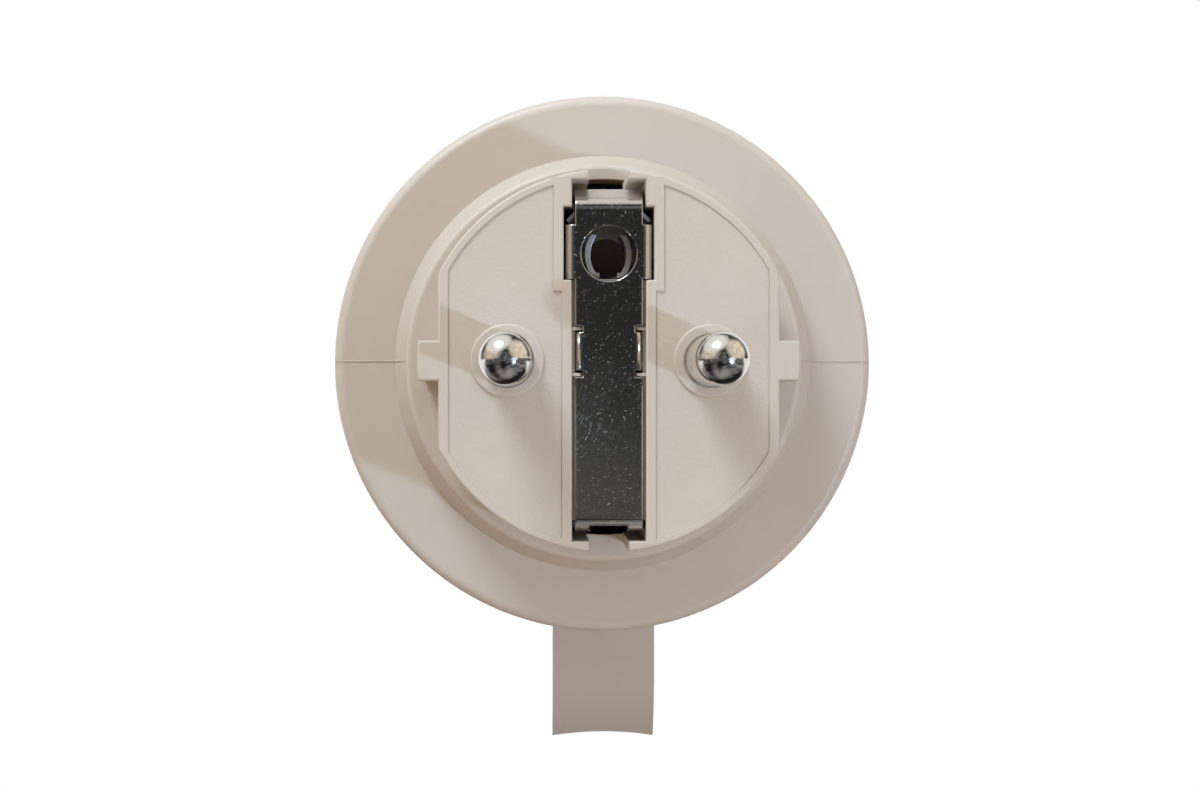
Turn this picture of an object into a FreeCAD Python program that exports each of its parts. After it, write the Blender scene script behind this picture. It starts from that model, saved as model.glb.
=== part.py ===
import FreeCAD, Part
import math
import os
import re
import Sketcher

# Outdoor smart plug: a rear plug face with two pins and an earth strip, a round
# housing with the switching electronics, and a front socket under a hinged lid.
# Millimetres. The plug's axis is Y, its pins point to -Y and +Z is up.
# The origin is on the axis in the plane of the plug face.

SIZES = {
    # Plug face and the insert that carries it
    "insert_radius": 17.9,
    "insert_half_width": 15.95,
    "insert_depth": 17.5,
    "insert_wall": 1.9,
    "face_wall": 3.6,
    "guide_rib_width": 3.74,
    "rim_width": 1.05,
    "panel_recess": 0.5,
    "channel_half_width": 3.45,
    "channel_top": 16.95,
    "channel_bottom": 16.86,
    "channel_rim_width": 0.95,
    "leg_slot_depth": 1.95,
    "clip_notch_half_width": 1.85,
    "insert_spigot_step": 0.9,
    "insert_spigot_length": 4.0,
    "web_inset": 1.8,
    "channel_end_inset": 0.75,
    "channel_jog_gap": 0.2,
    "channel_play": 0.05,
    "chamber_depth_gap": 1.0,
    "notch_overlap": 0.2,
    "ear_pocket_gap": 0.5,
    "ear_pocket_land": 0.4,
    "nub_setback": 0.35,
    "nub_width": 0.85,
    "pin_bore_gap": 0.02,
    # General fits, the overlap of joined forms and how far a cut runs past
    "fit_gap": 0.1,
    "sheet_play": 0.05,
    "seal_play": 0.05,
    "screw_gap": 0.1,
    "weld": 0.5,
    "cut_past": 1.0,
    # Pins
    "pin_pitch": 19.0,
    "pin_radius": 2.4,
    "pin_length": 19.0,
    "pin_boss_radius": 3.45,
    "pin_carrier_radius": 4.6,
    "pin_shank_radius": 1.9,
    "pin_neck_radius": 1.5,
    "pin_neck_start": 2.5,
    "pin_neck_end": 5.8,
    "pin_neck_slope": 0.4,
    "pin_shoulder_offset": 0.5,
    "pin_tail_proud": 1.0,
    "pin_tail_radius": 1.2,
    # Earth strip and the receptacle behind it
    "strip_half_width": 3.15,
    "strip_thickness": 0.8,
    "strip_top": 15.15,
    "strip_bottom": 15.98,
    "strip_leg_length": 15.0,
    "strip_bend": 1.2,
    "strip_foot_bend": 1.4,
    "leg_rise": 1.2,
    "leg_slope_end": 5.0,
    "strip_slot_half_width": 1.75,
    "strip_slot_depth": 0.65,
    "strip_slot_land": 3.0,
    "waist_half_width": 2.45,
    "waist_low": -1.55,
    "waist_high": 3.25,
    "ear_low": -0.9,
    "ear_high": 2.65,
    "ear_length": 4.0,
    "ear_root": 0.2,
    "ear_inset": 0.1,
    "ear_bend": 0.5,
    "wing_half_width": 4.05,
    "wing_low": 7.65,
    "wing_high": 12.7,
    "wing_length": 5.5,
    "wing_gap": 0.18,
    "wing_wall": 0.7,
    "wing_bend": 0.8,
    "chamber_high": 14.4,
    "earth_hole_height": 10.0,
    "earth_hole_radius": 2.6,
    "earth_collar_wall": 0.6,
    "earth_collar_length": 2.3,
    "leaf_gap": 3.4,
    "leaf_curve_radius": 3.1,
    "leaf_thickness": 0.5,
    "leaf_half_height": 1.9,
    "leaf_end": 9.6,
    "leaf_web_half_width": 0.8,
    "leaf_web_length": 2.2,
    "leaf_tab_inner": 0.85,
    "leaf_tab_outer": 1.45,
    "leaf_tab_height": 0.4,
    "leaf_tab_length": 1.2,
    "shoulder_radius": 5.1,
    "shoulder_wall": 0.35,
    "shoulder_inner": 2.95,
    "shoulder_outer": 3.98,
    "shoulder_start": 1.3,
    "sill_half_width": 1.15,
    "sill_drop": 2.6,
    "sill_height": 0.3,
    "receptacle_gap": 0.15,
    "receptacle_headroom": 0.15,
    "receptacle_sheet": 0.6,
    "receptacle_arm_gap": 0.2,
    "receptacle_depth": 11.2,
    "earth_pin_pocket": 15.5,
    "receptacle_half_width": 3.6,
    # Collar, flange and the snap spigot of the rear housing
    "collar_top_radius": 19.65,
    "collar_base_radius": 21.0,
    "collar_height": 5.0,
    "collar_edge_round": 0.6,
    "collar_web": 2.0,
    "collar_notch_half_width": 2.1,
    "collar_notch_reach": 18.3,
    "flange_radius": 27.15,
    "flange_thickness": 3.0,
    "flange_edge_round": 1.0,
    "wall": 2.2,
    "spigot_gap": 0.25,
    "spigot_wall": 2.2,
    "spigot_length": 5.6,
    "seal_groove_depth": 1.1,
    "seal_groove_width": 1.5,
    "seal_groove_offset": 0.9,
    "seal_bevel": 0.3,
    "seal_bevel_length": 0.35,
    "snap_height": 0.45,
    "snap_width": 0.9,
    "snap_offset": 3.6,
    "snap_play": 0.15,
    "board_pilot_floor": 0.6,
    # Main housing
    "body_length": 46.5,
    "ledge_width": 2.1,
    "ledge_thickness": 2.0,
    "screw_boss_floor": 1.0,
    # Front socket
    "face_setback": 1.0,
    "plate_thickness": 2.5,
    "plate_gap": 0.15,
    "lip_height": 0.8,
    "screw_land": 0.25,
    "recess_depth": 17.5,
    "recess_wall": 1.55,
    "floor_thickness": 2.0,
    "floor_seat": 0.7,
    "socket_hole_radius": 2.75,
    "guide_nose_width": 5.4,
    "guide_nose_reach": 2.6,
    "guide_nose_setback": 2.0,
    "guide_nose_root": 0.3,
    "post_radius": 2.2,
    "post_inset": 2.55,
    "post_pilot_depth": 1.0,
    "screw_radius": 1.0,
    "screw_boss_radius": 1.5,
    "screw_length": 8.0,
    "screw_tip_gap": 0.5,
    "screw_head_recess": 1.3,
    "screw_head_height": 1.1,
    "pan_head_radius": 1.9,
    "pan_head_height": 1.2,
    "thread_gap": 0.05,
    "carrier_screw_bite": 0.3,
    "board_screw_length": 6.0,
    # Contacts, their carrier and the shutter
    "carrier_gap": 2.7,
    "carrier_thickness": 2.1,
    "carrier_inset": 0.4,
    "carrier_hole_gap": 0.15,
    "spring_pocket_radius": 3.6,
    "spring_pocket_depth": 1.6,
    "contact_wall": 0.7,
    "contact_grip": 0.05,
    "contact_length": 11.5,
    "contact_slit_half_width": 0.4,
    "contact_collar_length": 2.0,
    "contact_base": 0.8,
    "foot_half_width": 1.2,
    "foot_low": -3.0,
    "foot_into_board": 1.4,
    "strap_half_width": 2.2,
    "strap_thickness": 0.8,
    "strap_inset": 0.95,
    "strap_clip_length": 12.5,
    "clip_bump_height": 7.75,
    "clip_bump": 0.8,
    "clip_flare": 0.6,
    "clip_fold": 1.0,
    "clip_tip_gap": 0.3,
    "clip_headroom": 0.6,
    "clip_gap": 0.3,
    "strap_gap": 0.3,
    "shutter_gap": 0.4,
    "shutter_thickness": 1.5,
    "shutter_lobe_radius": 3.4,
    "shutter_arm_half_width": 1.6,
    "shutter_hub_wall": 0.95,
    "shutter_lobe_round": 0.6,
    "pivot_radius": 1.4,
    "pivot_clearance": 0.06,
    "spring_wire_radius": 0.2,
    "spring_leg_radius": 0.192,
    "shutter_coil_gap": 1.3,
    "shutter_coil_seat": 1.3,
    "shutter_coil_height": 1.2,
    "shutter_coil_turns": 2.5,
    "shutter_leg_angle": 45.0,
    "shutter_leg_reach": 1.0,
    # Boards
    "board_thickness": 1.6,
    "board_gap": 0.5,
    "board_screw_inset": 1.9,
    "board_post_radius": 2.3,
    "control_board_height": 15.8,
    "control_board_thickness": 0.8,
    "control_board_half_width": 9.0,
    "control_board_length": 13.0,
    "earth_bar_half_width": 2.4,
    "earth_bar_overlap": 4.5,
    "earth_bar_gap": 0.3,
    # Parts on the main board: each stands on its front and is placed from the axis
    "part_stand": 0.2,
    "relay_half_length": 13.5,
    "relay_height": 12.3,
    "relay_width": 10.0,
    "relay_low": -16.8,
    "filter_left": 13.6,
    "filter_thickness": 4.8,
    "filter_height": 11.0,
    "filter_length": 10.0,
    "filter_low": 2.2,
    "core_left": 3.3,
    "core_length": 9.8,
    "core_width": 8.2,
    "core_low": 4.4,
    "core_stand": 2.0,
    "core_height": 7.0,
    "bobbin_end_inset": 1.3,
    "bobbin_side_inset": 1.0,
    "bobbin_height": 10.4,
    "rectifier_half_length": 3.0,
    "rectifier_height": 2.6,
    "rectifier_width": 4.0,
    "rectifier_low": -5.4,
    "shunt_half_length": 3.0,
    "shunt_height": 3.0,
    "shunt_thickness": 0.8,
    "shunt_width": 3.0,
    "shunt_low": 1.0,
    "varistor_radius": 4.5,
    "varistor_thickness": 3.6,
    "varistor_left": -18.2,
    "varistor_middle": -7.5,
    "varistor_stand": 0.4,
    "fuse_radius": 2.1,
    "fuse_length": 9.0,
    "fuse_across": 16.8,
    "fuse_low": -11.5,
    "can_radius": 3.6,
    "can_height": 11.6,
    "can_round": 0.5,
    "outer_can_across": -14.9,
    "outer_can_up": 10.4,
    "inner_can_across": -7.2,
    "inner_can_up": 10.2,
    # Parts on the control board
    "radio_left": 3.2,
    "radio_width": 5.4,
    "radio_length": 12.0,
    "radio_sheet": 0.8,
    "radio_can_height": 1.7,
    "radio_can_inset": 0.3,
    "radio_can_setback": 0.4,
    "radio_start": 0.6,
    "antenna_length": 3.4,
    "light_half_width": 0.8,
    "light_height": 0.9,
    # Button and light guide on the top of the housing
    "button_offset": 17.1,
    "button_half_length": 5.5,
    "button_half_width": 3.0,
    "button_proud": 0.8,
    "button_gap": 0.2,
    "button_depth": 3.4,
    "button_travel": 0.5,
    "button_flange": 0.7,
    "button_flange_thickness": 0.8,
    "button_corner": 2.4,
    "button_round": 0.5,
    "frame_wall": 1.5,
    "frame_depth": 2.5,
    "frame_weld": 0.3,
    "seal_wall": 0.9,
    "seal_height": 1.4,
    "seal_gap": 0.15,
    "wiper_gap": 0.12,
    "switch_half_width": 3.0,
    "switch_case_height": 1.4,
    "switch_gap": 0.15,
    "stem_radius": 1.6,
    "guide_radius": 1.5,
    "guide_offset": 10.5,
    "guide_gap": 0.05,
    "guide_foot_gap": 0.2,
    "guide_proud": 0.05,
    # Lid, its tongue and hinge
    "lid_overhang": 0.35,
    "lid_gap": 0.3,
    "lid_edge": 4.4,
    "lid_crown": 2.6,
    "lid_hollow_inset": 1.7,
    "lid_hollow_depth": 2.6,
    "lid_edge_round": 2.2,
    "gasket_width": 2.2,
    "gasket_depth": 1.0,
    "gasket_proud": 1.1,
    "gasket_bevel": 0.5,
    "gasket_bevel_height": 0.6,
    "tongue_half_width": 6.05,
    "tongue_shift": 1.4,
    "tongue_thickness": 1.8,
    "tongue_offset": 0.9,
    "tongue_root": 2.0,
    "tongue_straight_end": 35.1,
    "tongue_curl_radius": 12.0,
    "tongue_curl_angle": 50.0,
    "tongue_scoop_radius": 34.0,
    "tongue_scoop_depth": 0.55,
    "hinge_rise": 1.75,
    "hinge_setback": 0.15,
    "knuckle_radius": 2.2,
    "knuckle_clearance": 0.35,
    "hinge_pin_radius": 0.8,
    "hinge_bore_clearance": 0.05,
    "hinge_half_length": 7.2,
    "lid_knuckle_outer": 4.6,
    "lid_knuckle_inner": 2.7,
    "knuckle_gap": 0.3,
    "knuckle_root_gap": 0.4,
    "hinge_pin_inset": 0.2,
    "lid_coil_gap": 0.55,
    "lid_coil_half_length": 1.8,
    "lid_coil_turns": 4.5,
    "lid_spring_leg": 1.9,
}

# Stations along the axis and radii that follow from the sizes above.
STATIONS = {
    "flange_y": "insert_depth + collar_height",
    "joint_y": "flange_y + flange_thickness",
    "board_y": "joint_y + spigot_length",
    "board_front_y": "board_y + board_thickness",
    "front_y": "joint_y + body_length",
    "socket_face_y": "front_y - face_setback",
    "lip_y": "socket_face_y + lip_height",
    "floor_y": "lip_y - recess_depth",
    "floor_back_y": "floor_y - floor_thickness",
    "carrier_front_y": "floor_back_y - carrier_gap",
    "carrier_back_y": "carrier_front_y - carrier_thickness",
    "bore_radius": "flange_radius - wall",
    "recess_radius": "bore_radius - plate_gap - 2 * (screw_boss_radius + screw_land) - recess_wall",
    "cup_radius": "recess_radius + recess_wall",
    "post_ring_radius": "recess_radius - post_inset",
    "strap_reach": "recess_radius - strap_inset",
    "spigot_radius": "bore_radius - spigot_gap",
    "board_screw_ring": "spigot_radius - spigot_wall - board_screw_inset",
    "strap_front_y": "carrier_back_y - strap_gap",
    "strap_back_y": "strap_front_y - strap_thickness",
    "button_y": "joint_y + button_offset",
    "guide_y": "joint_y + guide_offset",
    "lid_y": "front_y + lid_gap",
    "lid_edge_y": "lid_y + lid_edge",
    "lid_radius": "flange_radius + lid_overhang",
    "hinge_y": "front_y + hinge_setback",
    "hinge_height": "flange_radius + hinge_rise",
    "gasket_inner_radius": "(cup_radius + bore_radius - gasket_width) / 2",
    "gasket_outer_radius": "gasket_inner_radius + gasket_width",
    "lid_hollow_radius": "gasket_inner_radius - lid_hollow_inset",
    "button_underside": "bore_radius - button_depth",
    "shutter_front_y": "floor_back_y - shutter_gap",
    "shutter_back_y": "shutter_front_y - shutter_thickness",
    "chamber_half_width": "wing_half_width + wing_gap",
    "chamber_depth": "receptacle_depth + chamber_depth_gap",
    "earth_bar_low": "strip_top + leg_rise - 2 * strip_thickness",
    "control_top": "control_board_height + control_board_thickness",
    "guide_foot": "control_top + light_height + guide_foot_gap",
    "socket_screw_ring": "(cup_radius + bore_radius - plate_gap) / 2",
    "socket_screw_offset": "socket_screw_ring * sqrt(1 / 2)",
    "boss_root_offset": "(socket_screw_ring + screw_boss_radius) * sqrt(1 / 2)",
    "post_offset": "post_ring_radius * sqrt(1 / 2)",
}

SCREW_TURNS = [math.radians(45 + 90 * i) for i in range(4)]
FULL_TURN = 360
NEAR = 1e-4

doc = FreeCAD.newDocument("outdoor_smart_plug")
sheet = doc.addObject("Spreadsheet::Sheet", "Sizes")
PIECES = []


def fill_sheet():
    row = 0
    for name, size in SIZES.items():
        row += 1
        sheet.set(f"A{row}", name)
        sheet.set(f"B{row}", str(size))
        sheet.setAlias(f"B{row}", name)
    for name, rule in STATIONS.items():
        row += 1
        sheet.set(f"A{row}", name)
        sheet.set(f"B{row}", "=" + rule)
        sheet.setAlias(f"B{row}", name)
    doc.recompute()


def bound(rule):
    """Point each size name in a rule at its cell of the sheet."""
    def cell(match):
        word = match.group()
        known = word in SIZES or word in STATIONS
        return "Sizes." + word if known else word
    return re.sub(r"[a-z_]+", cell, rule)


def value(rule):
    """The present number that a rule gives."""
    return float(sheet.evalExpression(bound(rule)))


def new_body(label):
    body = doc.addObject("PartDesign::Body", label)
    body.Label = label
    PIECES.append(body)
    return body


def new_sketch(body, axis, station="0"):
    """A sketch square to a world axis, at a station along it."""
    role = {"X": "YZ_Plane", "Y": "XZ_Plane", "Z": "XY_Plane"}[axis]
    plane = [item for item in body.Origin.OriginFeatures if item.Role == role][0]
    sketch = body.newObject("Sketcher::SketchObject", body.Name + "_sketch")
    sketch.AttachmentSupport = (plane, [""])
    sketch.MapMode = "FlatFace"
    sign = "-" if axis == "Y" else ""
    sketch.setExpression("AttachmentOffset.Base.z", bound(f"{sign}({station})"))
    return sketch


def bind(sketch, constraint, rule):
    index = sketch.addConstraint(constraint)
    name = f"size{index}"
    sketch.renameConstraint(index, name)
    sketch.setExpression("Constraints." + name, bound(rule))


def fix(sketch, edge, end, across=None, up=None):
    """Hold a point of a sketch at distances from its origin."""
    for kind, rule in (("DistanceX", across), ("DistanceY", up)):
        if rule is not None:
            bind(sketch, Sketcher.Constraint(kind, -1, 1, edge, end, value(rule)), rule)


def circle(across, up, radius):
    def draw(sketch):
        centre = FreeCAD.Vector(value(across), value(up), 0)
        ring = Part.Circle(centre, FreeCAD.Vector(0, 0, 1), value(radius))
        edge = sketch.addGeometry(ring, False)
        bind(sketch, Sketcher.Constraint("Radius", edge, value(radius)), radius)
        fix(sketch, edge, 3, across, up)
    return draw


def outline(*points):
    """A closed outline. An entry (across, up, centre_across, centre_up) reaches
    its point by an arc about that centre, counter-clockwise or clockwise by the
    shorter way; its own point is then held by one distance only."""
    def draw(sketch):
        places = [FreeCAD.Vector(value(p[0]), value(p[1]), 0) for p in points]
        first = sketch.GeometryCount
        total = len(points)
        starts = []
        for i in range(total):
            begin = places[i]
            end = places[(i + 1) % total]
            target = points[(i + 1) % total]
            if len(target) == 4:
                centre = FreeCAD.Vector(value(target[2]), value(target[3]), 0)
                a = math.atan2(begin.y - centre.y, begin.x - centre.x)
                b = math.atan2(end.y - centre.y, end.x - centre.x)
                turn = (b - a + math.pi) % (2 * math.pi) - math.pi
                ring = Part.Circle(centre, FreeCAD.Vector(0, 0, 1), (begin - centre).Length)
                if turn > 0:
                    arc = Part.ArcOfCircle(ring, a, a + turn)
                else:
                    arc = Part.ArcOfCircle(ring, b, b - turn)
                edge = sketch.addGeometry(arc, False)
                starts.append((1, 2) if turn > 0 else (2, 1))
                fix(sketch, edge, 3, target[2], target[3])
            else:
                edge = sketch.addGeometry(Part.LineSegment(begin, end), False)
                starts.append((1, 2))
        for i in range(total):
            after = (i + 1) % total
            join = Sketcher.Constraint(
                "Coincident", first + i, starts[i][1], first + after, starts[after][0]
            )
            sketch.addConstraint(join)
        for i, point in enumerate(points):
            if len(point) == 4:
                level = abs(places[i].y - value(point[3])) > abs(places[i].x - value(point[2]))
                if level:
                    fix(sketch, first + i, starts[i][0], across=point[0])
                else:
                    fix(sketch, first + i, starts[i][0], up=point[1])
            else:
                fix(sketch, first + i, starts[i][0], point[0], point[1])
    return draw


def box(low_across, high_across, low_up, high_up):
    return outline(
        (low_across, low_up),
        (high_across, low_up),
        (high_across, high_up),
        (low_across, high_up),
    )


def flatted(radius, half_width):
    """A circle with a flat on its left and right."""
    corner = f"sqrt(({radius}) ^ 2 - ({half_width}) ^ 2)"
    return outline(
        (f"-({half_width})", f"-({corner})"),
        ("0", f"-({radius})", "0", "0"),
        (half_width, f"-({corner})", "0", "0"),
        (half_width, corner),
        ("0", radius, "0", "0"),
        (f"-({half_width})", corner, "0", "0"),
    )


def extrude(body, axis, low, high, *drawings, cut=False):
    """Add or cut what the drawings enclose, from one station to a higher one."""
    sketch = new_sketch(body, axis, low)
    for draw in drawings:
        draw(sketch)
    kind = "Pocket" if cut else "Pad"
    feature = body.newObject("PartDesign::" + kind, body.Name + "_" + kind.lower())
    feature.Profile = sketch
    feature.setExpression("Length", bound(f"({high}) - ({low})"))
    feature.Reversed = (axis == "Y") != cut
    sketch.Visibility = False
    return feature


def revolve(body, *points, cut=False):
    """Turn a profile of (radius, station) points about the Y axis."""
    sketch = new_sketch(body, "Z")
    outline(*points)(sketch)
    kind = "Groove" if cut else "Revolution"
    feature = body.newObject("PartDesign::" + kind, body.Name + "_" + kind.lower())
    feature.Profile = sketch
    feature.ReferenceAxis = (sketch, ["V_Axis"])
    feature.Angle = FULL_TURN
    return feature


def round_edges(body, radius, wanted):
    """Fillet the edges of the body so far that a test picks."""
    doc.recompute()
    base = body.Tip
    edges = base.Shape.Edges
    names = [f"Edge{i + 1}" for i, edge in enumerate(edges) if wanted(edge)]
    fillet = body.newObject("PartDesign::Fillet", body.Name + "_fillet")
    fillet.Base = (base, names)
    fillet.setExpression("Radius", bound(radius))
    return fillet


def is_round(edge):
    return not edge.Degenerated and isinstance(edge.Curve, Part.Circle)


def ring_edge(radius, station):
    """A test for the round edge of that radius at that station on the axis."""
    def wanted(edge):
        if not is_round(edge):
            return False
        same_radius = abs(edge.Curve.Radius - value(radius)) < NEAR
        return same_radius and abs(edge.Curve.Center.y - value(station)) < NEAR
    return wanted


def bar_edge(axis, **near):
    """A test for straight edges along an axis that pass through given places."""
    def wanted(edge):
        if edge.Degenerated or not isinstance(edge.Curve, Part.Line):
            return False
        run = edge.Vertexes[-1].Point - edge.Vertexes[0].Point
        if abs(abs(getattr(run, axis)) - run.Length) > NEAR:
            return False
        middle = edge.CenterOfMass
        return all(
            any(abs(getattr(middle, name) - value(rule)) < NEAR for rule in rules)
            for name, rules in near.items()
        )
    return wanted


def repeat_round(body, feature, count):
    """Repeat a feature evenly about the Y axis."""
    doc.recompute()
    pattern = body.newObject("PartDesign::PolarPattern", body.Name + "_pattern")
    pattern.Originals = [feature]
    pattern.Axis = (feature.Profile[0], ["N_Axis"])
    pattern.Angle = FULL_TURN
    pattern.Occurrences = count
    body.Tip = pattern
    return pattern


def mirror(body, feature, role):
    """Repeat a feature on the other side of an origin plane."""
    doc.recompute()
    plane = [item for item in body.Origin.OriginFeatures if item.Role == role][0]
    pattern = body.newObject("PartDesign::Mirrored", body.Name + "_mirror")
    pattern.Originals = [feature]
    pattern.MirrorPlane = (plane, [""])
    body.Tip = pattern
    return pattern


def brick(label, x_low, x_high, y_low, y_high, z_low, z_high, piece=True):
    solid = doc.addObject("Part::Box", label)
    solid.Label = label
    for name, low, high in (
        ("Length", x_low, x_high),
        ("Width", y_low, y_high),
        ("Height", z_low, z_high),
    ):
        solid.setExpression(name, bound(f"({high}) - ({low})"))
    for name, low in (("x", x_low), ("y", y_low), ("z", z_low)):
        solid.setExpression("Placement.Base." + name, bound(low))
    if piece:
        PIECES.append(solid)
    return solid


def rod(label, axis, radius, start, length, piece=True):
    """A round bar along an axis from its start point."""
    turns = {
        "X": FreeCAD.Rotation(FreeCAD.Vector(0, 1, 0), 90),
        "Y": FreeCAD.Rotation(FreeCAD.Vector(1, 0, 0), -90),
        "Z": FreeCAD.Rotation(),
    }
    solid = doc.addObject("Part::Cylinder", label)
    solid.Label = label
    solid.Placement = FreeCAD.Placement(FreeCAD.Vector(), turns[axis])
    solid.setExpression("Radius", bound(radius))
    solid.setExpression("Height", bound(length))
    for name, rule in zip("xyz", start):
        solid.setExpression("Placement.Base." + name, bound(rule))
    if piece:
        PIECES.append(solid)
    return solid


def fused(label, *solids):
    whole = doc.addObject("Part::MultiFuse", label)
    whole.Label = label
    whole.Shapes = list(solids)
    PIECES.append(whole)
    return whole


def shaped(label, shape):
    piece = doc.addObject("Part::Feature", label)
    piece.Label = label
    piece.Shape = shape
    PIECES.append(piece)
    return piece


# Rear housing


def rear_housing():
    """Collar, flange and snap spigot, one moulding with a window for the insert."""
    body = new_body("rear_housing")
    groove_y = "joint_y + seal_groove_offset"
    snap_y = "joint_y + snap_offset"
    inner = "spigot_radius - spigot_wall"
    revolve(
        body,
        ("0", "insert_depth"),
        ("collar_top_radius", "insert_depth"),
        ("collar_base_radius", "flange_y"),
        ("flange_radius", "flange_y"),
        ("flange_radius", "joint_y"),
        ("spigot_radius", "joint_y"),
        ("spigot_radius", groove_y),
        ("spigot_radius - seal_groove_depth", groove_y),
        ("spigot_radius - seal_groove_depth", groove_y + " + seal_groove_width"),
        ("spigot_radius", groove_y + " + seal_groove_width"),
        ("spigot_radius", snap_y),
        ("spigot_radius + snap_height", snap_y + " + snap_width / 2"),
        ("spigot_radius", snap_y + " + snap_width"),
        ("spigot_radius", "board_y"),
        (inner, "board_y"),
        (inner, "flange_y + wall"),
        ("collar_base_radius - wall", "flange_y + wall"),
        ("collar_top_radius - wall", "insert_depth + collar_web"),
        ("0", "insert_depth + collar_web"),
    )
    opening_radius = "insert_radius - insert_spigot_step + fit_gap"
    opening_half_width = "insert_half_width - insert_spigot_step + fit_gap"
    extrude(
        body, "Y", "insert_depth - cut_past", "flange_y",
        flatted(opening_radius, opening_half_width), cut=True,
    )
    notch = "collar_notch_half_width"
    corner = f"sqrt(collar_notch_reach ^ 2 - {notch} ^ 2)"
    extrude(
        body, "Y", "insert_depth - cut_past", "flange_y",
        outline(
            ("-" + notch, "0"),
            (notch, "0"),
            (notch, corner),
            ("0", "collar_notch_reach", "0", "0"),
            ("-" + notch, corner, "0", "0"),
        ),
        cut=True,
    )
    post = extrude(
        body, "Y", "flange_y + wall / 2", "board_y",
        circle("board_screw_ring", "0", "board_post_radius"),
    )
    repeat_round(body, post, 2)
    hole = extrude(
        body, "Y", "flange_y + wall + board_pilot_floor", "board_y + cut_past",
        circle("board_screw_ring", "0", "screw_radius"), cut=True,
    )
    repeat_round(body, hole, 2)
    round_edges(body, "collar_edge_round", ring_edge("collar_top_radius", "insert_depth"))
    round_edges(body, "flange_edge_round", ring_edge("flange_radius", "flange_y"))


def housing_seal():
    body = new_body("housing_seal")
    low = "joint_y + seal_groove_offset + fit_gap"
    high = "joint_y + seal_groove_offset + seal_groove_width - fit_gap"
    floor = "spigot_radius - seal_groove_depth + seal_play"
    crest = "bore_radius - fit_gap"
    revolve(
        body,
        (floor, low),
        (crest + " - seal_bevel", low),
        (crest, low + " + seal_bevel_length"),
        (crest, high + " - seal_bevel_length"),
        (crest + " - seal_bevel", high),
        (floor, high),
    )


# Plug face


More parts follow.
